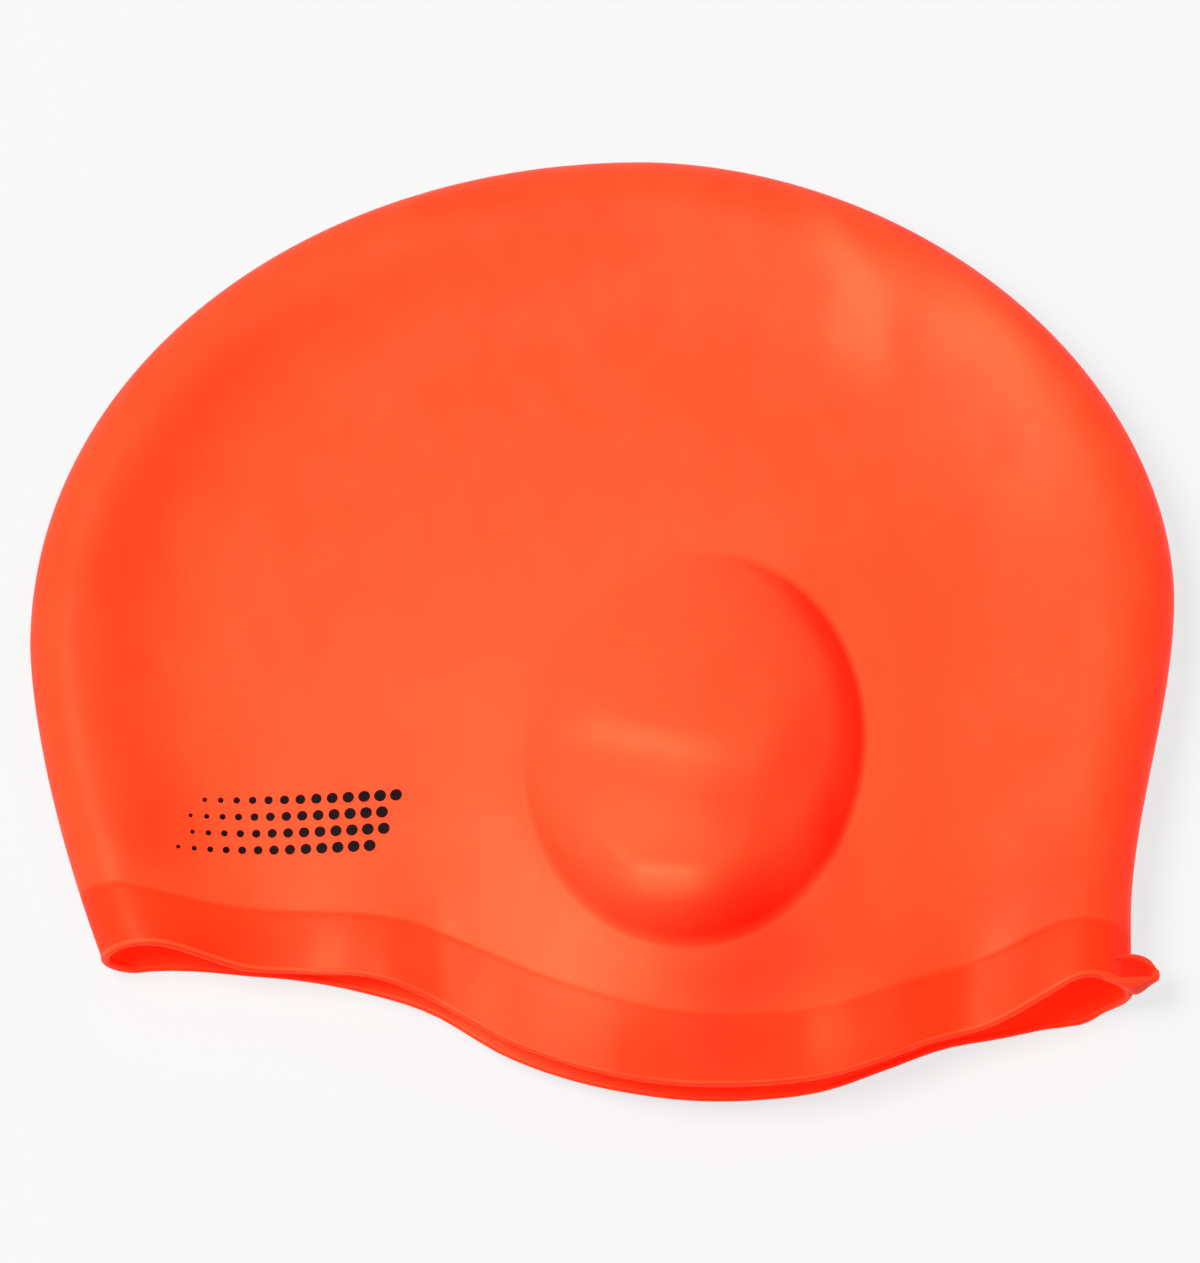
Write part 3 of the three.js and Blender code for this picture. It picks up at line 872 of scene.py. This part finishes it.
@dataclass(frozen=True)
class PullTab:
    """The small dished tab at the back end of the rim, grown out of the rolled fold."""

    form: CapForm
    origin: Vector
    reach: float = 5.3
    width: float = 9.0
    dish: float = 1.4
    dish_middle: float = 0.5
    dish_half: float = 0.35
    dish_edge: float = 0.14
    dish_start: Tuple[float, float] = (0.04, 0.2)
    dish_end: Tuple[float, float] = (1.06, 0.2)
    stations: int = 44
    around: int = 96
    tip_rings: int = 6
    squareness: float = 0.6
    tip_round: float = 0.45

    @property
    def fold(self) -> float:
        """Place along the cap of the back fold beside the rim."""
        return float(self.form.back_fold(np.array(-self.form.skirt_drop - self.form.rim_dip)))

    @property
    def middle(self) -> float:
        """Height of the middle of the rolled fold beside the rim."""
        return float(self.form.fold_radius(self.fold))

    def section(self, share: float, turn: Grid) -> Tuple[Grid, Grid]:
        """Rounded section of the tab across its length, without the dish.

        Args:
            share: the section's place from the root (0) to the tip (1).
            turn: turns round the section in radians.

        Returns:
            Places across the tab, and heights, in millimetres.
        """
        form = self.form
        rim_end = -form.skirt_drop - RIM_TABLE[-1].upper * form.rim_dip
        at = np.array(share)
        low, high, under, over = (read_table(TAB_TABLE, column, at) for column in TabRow._fields[1:])
        cos, sin = np.cos(turn), np.sin(turn)
        across = np.sign(cos) * np.abs(cos) ** self.squareness
        up = np.sign(sin) * np.abs(sin) ** self.squareness
        y = rim_end + self.width * ((low + high) / 2 + (high - low) / 2 * across)
        return y, self.middle * (1 + (under + over) / 2 + (over - under) / 2 * up)

    def build(self) -> bpy.types.Object:
        """Builds the tab from its root on the fold's wall to its rounded tip.

        Returns:
            The closed tab, with painted shade in its dish stored on its vertices.
        """
        fold, middle = self.fold, self.middle
        turn = np.linspace(0.0, 2 * math.pi, self.around, endpoint=False)
        root_z = self.section(0.0, turn)[1]
        arc = middle - self.form.wall / 2
        root_x = fold - middle + np.sqrt(np.maximum(arc**2 - (root_z - middle) ** 2, 0.0))
        top_side = np.sqrt(np.clip(np.sin(turn), 0.0, 1.0))
        rings, painted_tones = [], []
        for share in np.linspace(0.0, 1.0, self.stations):
            x = root_x + (fold + self.reach - root_x) * share
            y, z = self.section(share, turn)
            across = (y - y.min()) / (y.max() - y.min())
            bowl = smooth((self.dish_half - np.abs(across - self.dish_middle)) / self.dish_edge)
            begun = smooth(np.array((share - self.dish_start[0]) / self.dish_start[1]))
            run = begun * smooth(np.array((self.dish_end[0] - share) / self.dish_end[1]))
            rings.append(np.stack([x, y, z - self.dish * bowl * run * top_side], axis=-1))
            # Painted shade in the dish.
            painted_tones.append(bowl * run * top_side)
        centre = rings[-1].mean(axis=0)
        for turn_in in np.linspace(0.0, math.pi / 2, self.tip_rings)[1:-1]:
            ring = centre + (rings[self.stations - 1] - centre) * math.cos(turn_in)
            ring[:, 0] += self.tip_round * math.sin(turn_in)
            rings.append(ring)
            painted_tones.append(np.zeros(self.around))
        stack = np.array(rings)
        tip = centre + np.array([self.tip_round, 0.0, 0.0])
        points = np.concatenate([stack.reshape(-1, 3), [stack[0].mean(axis=0), tip]])
        tab = make_object("pull_tab", in_scene(points, self.origin), shell_faces(len(stack), self.around))
        store(tab, "deeper", painted_tones)
        return tab


class NodeDesk:
    """Puts nodes in a tree and links them."""

    def __init__(self, tree: bpy.types.NodeTree) -> None:
        """Takes the tree that the nodes go in, and empties it."""
        self.tree = tree
        tree.nodes.clear()

    def add(
        self,
        kind: str,
        settings: Optional[Mapping[str, object]] = None,
        inputs: Optional[Mapping[Union[str, int], object]] = None,
    ) -> bpy.types.Node:
        """Adds a node.

        Args:
            kind: the node's type name.
            settings: properties that are set first.
            inputs: values or links of its input sockets, by name or number.

        Returns:
            The node.
        """
        node = self.tree.nodes.new(kind)
        for name, value in (settings or {}).items():
            setattr(node, name, value)
        for name, value in (inputs or {}).items():
            self.feed(node.inputs[name], value)
        return node

    def feed(self, socket: bpy.types.NodeSocket, value: object) -> None:
        """Links a socket to another, or sets its value.

        Args:
            socket: the input socket.
            value: a mask, an output socket, a colour or a plain value.
        """
        if isinstance(value, Mask):
            self.tree.links.new(value.socket, socket)
        elif isinstance(value, bpy.types.NodeSocket):
            self.tree.links.new(value, socket)
        elif isinstance(value, tuple) and len(value) == 3 and socket.type == "RGBA":
            socket.default_value = (*value, 1.0)
        else:
            socket.default_value = value


class Mask:
    """A shader value that takes part in Python arithmetic."""

    def __init__(self, desk: NodeDesk, socket: bpy.types.NodeSocket) -> None:
        """Wraps a node's output socket."""
        self.desk = desk
        self.socket = socket

    def maths(self, operation: str, *values: object) -> "Mask":
        """Adds a Math node.

        Args:
            operation: the node's operation.
            values: its inputs in order, masks or numbers.

        Returns:
            The node's result.
        """
        inputs = dict(enumerate(values))
        node = self.desk.add("ShaderNodeMath", {"operation": operation}, inputs)
        return Mask(self.desk, node.outputs[0])

    def __add__(self, other: object) -> "Mask":
        """Adds a value."""
        return self.maths("ADD", self, other)

    def __radd__(self, other: object) -> "Mask":
        """Adds to a value."""
        return self.maths("ADD", other, self)

    def __sub__(self, other: object) -> "Mask":
        """Takes a value away."""
        return self.maths("SUBTRACT", self, other)

    def __mul__(self, other: object) -> "Mask":
        """Multiplies by a value."""
        return self.maths("MULTIPLY", self, other)

    def __rmul__(self, other: object) -> "Mask":
        """Multiplies a value."""
        return self.maths("MULTIPLY", other, self)

    def between(self, low: float, high: float) -> "Mask":
        """Rises smoothly from 0 to 1 between two values, or falls if they are given the other way.

        Args:
            low: where the result is 0.
            high: where the result is 1.

        Returns:
            The eased value.
        """
        settings = {"interpolation_type": "SMOOTHSTEP"}
        if low < high:
            limits = {"From Min": low, "From Max": high, "To Min": 0.0, "To Max": 1.0}
        else:
            limits = {"From Min": high, "From Max": low, "To Min": 1.0, "To Max": 0.0}
        node = self.desk.add("ShaderNodeMapRange", settings, {"Value": self, **limits})
        return Mask(self.desk, node.outputs["Result"])


class Pattern(NamedTuple):
    """Smooth noise: waves in a metre, how many finer waves lie on it and how strong, and its stretch."""

    scale: float
    detail: float = 2.0
    roughness: float = 0.5
    stretch: Optional[Tuple[float, float, float]] = None


class Relief(NamedTuple):
    """Height of a fine relief in metres, and how strongly it shows."""

    height: float
    strength: float


class Span(NamedTuple):
    """Two values between which a pattern rises, or falls if the first is the larger."""

    start: float
    end: float


class Finish:
    """Common parts of a finish: its material, its desk and the patterns it draws on."""

    def __init__(self, name: str) -> None:
        """Makes an empty material.

        Args:
            name: the material's name.
        """
        self.material = bpy.data.materials.new(name)
        self.material.use_nodes = True
        self.desk = NodeDesk(self.material.node_tree)
        self.place = self.desk.add("ShaderNodeTexCoord").outputs["Object"]

    def noise(self, pattern: Pattern) -> Mask:
        """Draws smooth noise in the object's own space.

        Args:
            pattern: the noise's sizes.

        Returns:
            The noise, from 0 to 1.
        """
        place = self.place
        if pattern.stretch is not None:
            inputs = {"Vector": place, "Scale": pattern.stretch}
            place = self.desk.add("ShaderNodeMapping", None, inputs).outputs[0]
        inputs = {
            "Vector": place,
            "Scale": pattern.scale,
            "Detail": pattern.detail,
            "Roughness": pattern.roughness,
        }
        node = self.desk.add("ShaderNodeTexNoise", {"noise_dimensions": "3D"}, inputs)
        return Mask(self.desk, node.outputs[0])

    def attribute(self, name: str) -> Mask:
        """A value stored on the mesh's vertices."""
        node = self.desk.add("ShaderNodeAttribute", {"attribute_name": name})
        return Mask(self.desk, node.outputs["Fac"])

    def blend(self, share: object, first: object, second: object) -> bpy.types.NodeSocket:
        """Mixes two colours.

        Args:
            share: how much of the second colour there is.
            first: the first colour.
            second: the second colour.

        Returns:
            The mixed colour.
        """
        settings = {"data_type": "RGBA", "blend_type": "MIX"}
        node = self.desk.add("ShaderNodeMix", settings, {0: share, 6: first, 7: second})
        return node.outputs[2]

    def bump(self, height: object, relief: Relief, below: Optional[object] = None) -> bpy.types.NodeSocket:
        """Turns a height into a change of the surface's direction.

        Args:
            height: the height, from 0 to 1.
            relief: how high 1 is, and how strongly it shows.
            below: the direction of the coarser relief that it lies on.

        Returns:
            The changed direction.
        """
        inputs = {"Height": height, "Distance": relief.height, "Strength": relief.strength}
        if below is not None:
            inputs["Normal"] = below
        return self.desk.add("ShaderNodeBump", None, inputs).outputs[0]

    def close(self, surface: bpy.types.NodeSocket) -> bpy.types.Material:
        """Links a surface to the output and gives the material back."""
        self.desk.add("ShaderNodeOutputMaterial", None, {"Surface": surface})
        return self.material


@dataclass(frozen=True)
class SiliconeFinish:
    """Satin moulded silicone, slightly see-through, with mottled colour and fine specks, and with painted
    highlights, painted shade and a painted glow on its inner face.
    """

    colour: Colour = (0.99, 0.0485, 0.0135)
    deep_colour: Colour = (0.97, 0.034, 0.0075)
    band_colour: Colour = (0.96, 0.022, 0.003)
    speck_colour: Colour = (0.72, 0.018, 0.004)
    # Painted highlight colour.
    painted_light_colour: Colour = (0.99, 0.074, 0.026)
    # Painted shade colour.
    painted_shade_colour: Colour = (0.93, 0.013, 0.0025)
    # Painted glow on the inner face, standing in for light that passes through the thin wall.
    glow_colour: Colour = (0.55, 0.011, 0.002)
    mottle_share: float = 0.55
    speck_share: float = 0.3
    inside_share: float = 0.6
    band_share: float = 0.85
    roughness: float = 0.47
    rough_mottle: float = 0.1
    rough_band: float = 0.06
    rough_edge: float = 0.08
    gloss: float = 0.13
    gloss_tint: Colour = (1.0, 0.72, 0.42)
    refraction: float = 1.43
    scatter_weight: float = 0.6
    scatter_radius: Colour = (1.0, 0.18, 0.08)
    scatter_scale: float = 0.0035
    clouds: Pattern = Pattern(22.0, 3.0, 0.55)
    blotches: Pattern = Pattern(150.0, stretch=(1.0, 0.5, 1.0))
    blotch_weight: float = 0.4
    mottle_span: Span = Span(0.35, 0.65)
    speck_scale: float = 105.0
    speck_span: Span = Span(0.07, 0.03)
    chosen_specks: Span = Span(0.62, 0.66)
    waves: Pattern = Pattern(45.0, 1.0, 0.4)
    wave_relief: Relief = Relief(0.0012, 0.12)
    drag_marks: Pattern = Pattern(180.0, stretch=(1.0, 0.25, 1.0))
    drag_relief: Relief = Relief(0.0002, 0.12)
    speck_sink: float = 0.6
    grain: Pattern = Pattern(1500.0, 2.0, 0.6)
    grain_relief: Relief = Relief(0.00003, 0.25)

    def make(self) -> bpy.types.Material:
        """Makes the material; a value that a piece doesn't store counts as 0.

        Returns:
            The material.
        """
        finish = Finish("cap_silicone")
        cloud, blotch = finish.noise(self.clouds), finish.noise(self.blotches)
        speck = self.specks(finish)
        inside, band, edge = (finish.attribute(name) for name in ("inside", "band", "edge"))
        mottle = ((1 - self.blotch_weight) * cloud + self.blotch_weight * blotch).between(*self.mottle_span)
        base = finish.blend(mottle * self.mottle_share, self.colour, self.deep_colour)
        base = finish.blend(speck * self.speck_share, base, self.speck_colour)
        base = finish.blend(inside * self.inside_share, base, self.deep_colour)
        base = finish.blend(band * self.band_share, base, self.band_colour)
        # Painted highlights, then painted shade, from the shares stored on the pieces.
        base = finish.blend(finish.attribute("lighter"), base, self.painted_light_colour)
        base = finish.blend(finish.attribute("deeper"), base, self.painted_shade_colour)
        rough = self.roughness + self.rough_mottle * (cloud + blotch + speck - 1.0)
        rough = rough + self.rough_band * band - self.rough_edge * edge
        inputs = {
            "Base Color": base,
            "Roughness": rough,
            "Normal": self.relief(finish, speck),
            "Subsurface Weight": self.scatter_weight,
            "Subsurface Radius": self.scatter_radius,
            "Subsurface Scale": self.scatter_scale,
            "IOR": self.refraction,
            "Specular IOR Level": self.gloss,
            "Specular Tint": self.gloss_tint,
            # Painted glow: emission on the inner face in place of light through the thin wall.
            "Emission Color": finish.blend(inside, (0.0, 0.0, 0.0), self.glow_colour),
            "Emission Strength": 1.0,
        }
        settings = {"subsurface_method": "BURLEY"}
        shader = finish.desk.add("ShaderNodeBsdfPrincipled", settings, inputs)
        return finish.close(shader.outputs[0])

    def specks(self, finish: Finish) -> Mask:
        """Scatters small round specks, in some cells only.

        Args:
            finish: the finish that they belong to.

        Returns:
            1 on a speck and 0 beside it.
        """
        inputs = {"Vector": finish.place, "Scale": self.speck_scale}
        cells = finish.desk.add("ShaderNodeTexVoronoi", {"feature": "F1"}, inputs)
        chance = finish.desk.add("ShaderNodeSeparateColor", None, {"Color": cells.outputs["Color"]})
        chosen = Mask(finish.desk, chance.outputs[0]).between(*self.chosen_specks)
        return Mask(finish.desk, cells.outputs["Distance"]).between(*self.speck_span) * chosen

    def relief(self, finish: Finish, speck: Mask) -> bpy.types.NodeSocket:
        """Lays soft waves, drag marks and fine grain on one another.

        Args:
            finish: the finish that they belong to.
            speck: where the specks are; they lie a little deeper.

        Returns:
            The surface's direction.
        """
        normal = finish.bump(finish.noise(self.waves), self.wave_relief)
        drag = finish.noise(self.drag_marks) - self.speck_sink * speck
        normal = finish.bump(drag, self.drag_relief, normal)
        return finish.bump(finish.noise(self.grain), self.grain_relief, normal)


@dataclass(frozen=True)
class InkFinish:
    """Black silicone ink, slightly rubbed."""

    colour: Colour = (0.004, 0.001, 0.001)
    worn_colour: Colour = (0.03, 0.004, 0.003)
    wear: Pattern = Pattern(900.0, 3.0, 0.6)
    worn_span: Span = Span(0.58, 0.72)
    worn_share: float = 0.6
    roughness: float = 0.55
    rough_worn: float = 0.15
    gloss: float = 0.04
    grain: Pattern = Pattern(2600.0, 2.0, 0.6)
    grain_relief: Relief = Relief(0.00002, 0.3)

    def make(self) -> bpy.types.Material:
        """Makes the material.

        Returns:
            The material.
        """
        finish = Finish("black_ink")
        worn = finish.noise(self.wear).between(*self.worn_span)
        inputs = {
            "Base Color": finish.blend(worn * self.worn_share, self.colour, self.worn_colour),
            "Roughness": self.roughness + self.rough_worn * worn,
            "Normal": finish.bump(finish.noise(self.grain), self.grain_relief),
            "Specular IOR Level": self.gloss,
        }
        shader = finish.desk.add("ShaderNodeBsdfPrincipled", None, inputs)
        return finish.close(shader.outputs[0])


@dataclass(frozen=True)
class FloorFinish:
    """Matt pale studio table, lit a little from below."""

    colour: Colour = (0.08, 0.08, 0.08)
    cloud_colour: Colour = (0.076, 0.076, 0.076)
    glow_colour: Colour = (0.77, 0.77, 0.77)
    clouds: Pattern = Pattern(3.0)
    roughness: float = 0.9
    gloss: float = 0.1

    def make(self) -> bpy.types.Material:
        """Makes the material.

        Returns:
            The material.
        """
        finish = Finish("studio_floor")
        inputs = {
            "Base Color": finish.blend(finish.noise(self.clouds), self.colour, self.cloud_colour),
            "Roughness": self.roughness,
            "Specular IOR Level": self.gloss,
            "Emission Color": self.glow_colour,
            "Emission Strength": 1.0,
        }
        shader = finish.desk.add("ShaderNodeBsdfPrincipled", None, inputs)
        return finish.close(shader.outputs[0])


class GeometryTree:
    """A Geometry Nodes tree with named inputs, run once and turned into a plain mesh."""

    def __init__(self, name: str, sizes: Mapping[str, float]) -> None:
        """Makes the tree and its inputs.

        Args:
            name: the tree's name.
            sizes: its named sizes and their values.
        """
        self.tree = bpy.data.node_groups.new(name, "GeometryNodeTree")
        self.desk = NodeDesk(self.tree)
        face = self.tree.interface
        face.new_socket("Geometry", in_out="INPUT", socket_type="NodeSocketGeometry")
        face.new_socket("Geometry", in_out="OUTPUT", socket_type="NodeSocketGeometry")
        self.sizes = dict(sizes)
        self.names = {}
        for size in sizes:
            socket = face.new_socket(size, in_out="INPUT", socket_type="NodeSocketFloat")
            self.names[size] = socket.identifier
        socket = face.new_socket("Finish", in_out="INPUT", socket_type="NodeSocketMaterial")
        self.names["Finish"] = socket.identifier
        self.start = self.desk.add("NodeGroupInput")

    def finish(self, geometry: bpy.types.NodeSocket, rounded: bool) -> None:
        """Ends the tree in Realize Instances and Set Material.

        Args:
            geometry: what the tree has made.
            rounded: whether its faces are shaded smooth.
        """
        real = self.desk.add("GeometryNodeRealizeInstances", None, {"Geometry": geometry})
        inputs = {"Geometry": real.outputs[0], "Shade Smooth": rounded}
        shaded = self.desk.add("GeometryNodeSetShadeSmooth", None, inputs)
        inputs = {"Geometry": shaded.outputs[0], "Material": self.start.outputs["Finish"]}
        dressed = self.desk.add("GeometryNodeSetMaterial", None, inputs)
        self.desk.add("NodeGroupOutput", None, {"Geometry": dressed.outputs[0]})

    def run(self, start: bpy.types.Mesh, material: bpy.types.Material, name: str) -> bpy.types.Object:
        """Runs the tree on a mesh and turns the result into a plain piece.

        Args:
            start: the points or the path that the tree works on.
            material: the finish of the made piece.
            name: the made piece's name.

        Returns:
            The made piece.
        """
        carrier = bpy.data.objects.new(start.name, start)
        bpy.context.scene.collection.objects.link(carrier)
        modifier = carrier.modifiers.new(name, "NODES")
        modifier.node_group = self.tree
        for size, value in self.sizes.items():
            modifier[self.names[size]] = value
        modifier[self.names["Finish"]] = material
        evaluated = carrier.evaluated_get(bpy.context.evaluated_depsgraph_get())
        mesh = bpy.data.meshes.new_from_object(evaluated)
        mesh.name = name
        made = bpy.data.objects.new(name, mesh)
        bpy.context.scene.collection.objects.link(made)
        bpy.data.objects.remove(carrier)
        return made


@dataclass(frozen=True)
class RimBead:
    """The fine rounded bead that runs along the lip, all round the opening."""

    skin: CapSkin
    radius: float = 0.86
    sides: int = 14

    def build(self, material: bpy.types.Material) -> bpy.types.Object:
        """Sweeps a small circle along the lip.

        Args:
            material: the bead's finish.

        Returns:
            The bead.
        """
        path = self.skin.rim_path(self.radius)
        count = len(path)
        mesh = bpy.data.meshes.new("rim_path")
        mesh.from_pydata(path.tolist(), [(step, (step + 1) % count) for step in range(count)], [])
        tree = GeometryTree("bead_along_the_lip", {"Bead radius": self.radius * MM})
        curve = tree.desk.add("GeometryNodeMeshToCurve", None, {"Mesh": tree.start.outputs["Geometry"]})
        ring = tree.desk.add(
            "GeometryNodeCurvePrimitiveCircle",
            {"mode": "RADIUS"},
            {"Resolution": self.sides, "Radius": tree.start.outputs["Bead radius"]},
        )
        inputs = {"Curve": curve.outputs[0], "Profile Curve": ring.outputs[0]}
        swept = tree.desk.add("GeometryNodeCurveToMesh", None, inputs)
        tree.finish(swept.outputs[0], rounded=True)
        return tree.run(mesh, material, "rim_bead")


@dataclass(frozen=True)
class PrintedDots:
    """A plain printed pattern: slanted rows of black dots that shrink towards one end."""

    form: CapForm
    origin: Vector
    centre: Tuple[float, float] = (-64.0, -39.0)
    columns: int = 13
    rows: int = 4
    pitch: Tuple[float, float] = (3.2, 3.5)
    slant: float = 0.35
    stagger: float = 0.5
    largest: float = 1.25
    smallest: float = 0.45
    film: float = 0.07
    sides: int = 20
    slope_step: float = 0.5

    def places(self) -> Tuple[Grid, Grid, Grid]:
        """Places, outward directions and sizes of the dots.

        Returns:
            Points in millimetres, unit directions, and radii.
        """
        column, row = np.meshgrid(np.arange(self.columns), np.arange(self.rows))
        place = column + self.stagger * (row % 2)
        across = (place - (self.columns - 1) / 2) * self.pitch[0]
        up = (row - (self.rows - 1) / 2) * self.pitch[1]
        x = self.centre[0] + across + self.slant * up
        y = self.centre[1] + up
        share = place / (self.columns - 1 + self.stagger)
        size = self.smallest + (self.largest - self.smallest) * np.sin(share * math.pi / 2)
        step = self.slope_step
        ground = np.zeros_like(x, dtype=float)

        def height(at_x: Grid, at_y: Grid) -> Grid:
            """Height of the upper wall."""
            return self.form.wall_height(at_x, at_y, Wall.UPPER, ground)

        slope_x = (height(x + step, y) - height(x - step, y)) / (2 * step)
        slope_y = (height(x, y + step) - height(x, y - step)) / (2 * step)
        out = np.stack([-slope_x, -slope_y, np.ones_like(slope_x)], axis=-1)
        out /= np.linalg.norm(out, axis=-1, keepdims=True)
        points = np.stack([x, y, height(x, y)], axis=-1)
        return points.reshape(-1, 3), out.reshape(-1, 3), size.ravel()

    def build(self, material: bpy.types.Material) -> bpy.types.Object:
        """Prints a thin round film of ink at every place.

        Args:
            material: the ink.

        Returns:
            The printed dots.
        """
        points, out, size = self.places()
        mesh = bpy.data.meshes.new("dot_places")
        mesh.from_pydata(in_scene(points, self.origin).tolist(), [], [])
        facing = mesh.attributes.new("facing", "FLOAT_VECTOR", "POINT")
        facing.data.foreach_set("vector", out.astype(np.float32).ravel())
        width = mesh.attributes.new("width", "FLOAT", "POINT")
        width.data.foreach_set("value", size.astype(np.float32))
        sizes = {"Unit radius": MM, "Film thickness": self.film * MM}
        tree = GeometryTree("dots_on_the_wall", sizes)
        disc = tree.desk.add(
            "GeometryNodeMeshCylinder",
            {"fill_type": "NGON"},
            {
                "Vertices": self.sides,
                "Radius": tree.start.outputs["Unit radius"],
                "Depth": tree.start.outputs["Film thickness"],
            },
        )
        stored = "GeometryNodeInputNamedAttribute"
        facing_node = tree.desk.add(stored, {"data_type": "FLOAT_VECTOR"}, {"Name": "facing"})
        width_node = tree.desk.add(stored, {"data_type": "FLOAT"}, {"Name": "width"})
        inputs = {"Vector": facing_node.outputs["Attribute"]}
        turned = tree.desk.add("FunctionNodeAlignRotationToVector", {"axis": "Z"}, inputs)
        wide = width_node.outputs["Attribute"]
        scale = tree.desk.add("ShaderNodeCombineXYZ", None, {"X": wide, "Y": wide, "Z": 1.0})
        spread = tree.desk.add(
            "GeometryNodeInstanceOnPoints",
            None,
            {
                "Points": tree.start.outputs["Geometry"],
                "Instance": disc.outputs["Mesh"],
                "Rotation": turned.outputs[0],
                "Scale": scale.outputs[0],
            },
        )
        tree.finish(spread.outputs[0], rounded=False)
        return tree.run(mesh, material, "printed_dots")


@dataclass(frozen=True)
class Lamp:
    """A soft rectangular studio lamp that faces a point."""

    name: str
    place: Tuple[float, float, float]
    size: Tuple[float, float]
    power: float
    colour: Colour = (1.0, 1.0, 1.0)
    aim: Tuple[float, float, float] = (0.0, 0.0, 0.01)

    def build(self) -> bpy.types.Object:
        """Makes the lamp.

        Returns:
            The lamp.
        """
        data = bpy.data.lights.new(self.name, "AREA")
        data.shape = "RECTANGLE"
        data.size, data.size_y = self.size
        data.energy = self.power
        data.color = self.colour
        lamp = bpy.data.objects.new(self.name, data)
        lamp.location = self.place
        away = Vector(self.place) - Vector(self.aim)
        lamp.rotation_euler = away.to_track_quat("Z", "Y").to_euler()
        bpy.context.scene.collection.objects.link(lamp)
        return lamp


@dataclass(frozen=True)
class Studio:
    """Pale floor, soft light and the camera at the photograph's angle."""

    floor_side: float = 6.0
    elevation: float = 72.0
    distance: float = 8.0
    seen_height: float = 0.2538
    aim: Tuple[float, float, float] = (-0.00045, -0.00115, 0.012)
    sensor: float = 36.0
    clip: Tuple[float, float] = (0.05, 20.0)
    sky: float = 0.45
    lamps: Tuple[Lamp, ...] = field(
        default_factory=lambda: (Lamp("key_light", (-1.6, -0.08, 3.67), (1.6, 1.6), 305.0),)
    )

    def build_floor(self) -> bpy.types.Object:
        """Lays the floor.

        Returns:
            The floor.
        """
        half = self.floor_side / 2
        corners = np.array([[-half, -half, 0.0], [half, -half, 0.0], [half, half, 0.0], [-half, half, 0.0]])
        floor = make_object("studio_floor", corners, [(0, 1, 2, 3)])
        floor.data.materials.append(FloorFinish().make())
        return floor

    def light(self) -> None:
        """Sets the sky and the lamps."""
        world = bpy.data.worlds.new("studio_sky")
        world.use_nodes = True
        bpy.context.scene.world = world
        background = world.node_tree.nodes["Background"]
        background.inputs["Color"].default_value = (1.0, 1.0, 1.0, 1.0)
        background.inputs["Strength"].default_value = self.sky
        for lamp in self.lamps:
            lamp.build()

    def film(self) -> None:
        """Sets a plain view transform."""
        view = bpy.context.scene.view_settings
        view.view_transform = "Standard"
        view.look = "None"
        view.exposure = 0.0
        view.gamma = 1.0

    def camera(self) -> bpy.types.Object:
        """Places the camera above the cap, leaning towards its rim.

        Returns:
            The scene's camera.
        """
        data = bpy.data.cameras.new("camera")
        data.sensor_width = self.sensor
        data.lens = self.sensor * self.distance / self.seen_height
        data.clip_start, data.clip_end = self.clip
        camera = bpy.data.objects.new("camera", data)
        lift = math.radians(self.elevation)
        back = Vector((0.0, -math.cos(lift), math.sin(lift)))
        camera.location = Vector(self.aim) + back * self.distance
        camera.rotation_euler = back.to_track_quat("Z", "Y").to_euler()
        bpy.context.scene.collection.objects.link(camera)
        bpy.context.scene.camera = camera
        return camera


@dataclass(frozen=True)
class SwimCap:
    """The whole cap: skin, bead, pull tab and printed pattern."""

    form: CapForm
    origin: Vector

    def declare(self, piece: bpy.types.Object, *nodes: str) -> None:
        """Puts a finished piece on the cap's body.

        Args:
            piece: the finished piece.
            nodes: the part's solids that it stands for.
        """
        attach(piece, BODY)
        if nodes:
            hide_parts(*nodes)
        triangles = sum(len(polygon.vertices) - 2 for polygon in piece.data.polygons)
        LOG.info("%s: %d triangles", piece.name, triangles)

    def build(self) -> None:
        """Builds and dresses every piece."""
        silicone = SiliconeFinish().make()
        skin_maker = CapSkin(self.form, self.origin)
        skin = skin_maker.build()
        skin.data.materials.append(silicone)
        self.declare(skin, "cap_shell")
        bead = RimBead(skin_maker).build(silicone)
        self.declare(bead)
        tab = PullTab(self.form, self.origin).build()
        tab.data.materials.append(silicone)
        self.declare(tab)
        dots = PrintedDots(self.form, self.origin).build(InkFinish().make())
        self.declare(dots)


def main() -> None:
    """Builds the cap and its studio."""
    logging.basicConfig(level=logging.INFO, format="%(message)s")
    form = CapForm()
    cad_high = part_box("cap_shell")[1]
    origin = Vector((0.0, cad_high[1] - form.crown_rise * MM, 0.0))
    SwimCap(form, origin).build()
    studio = Studio()
    floor = studio.build_floor()
    studio.light()
    studio.film()
    studio.camera()


if __name__ == "__main__":
    main()
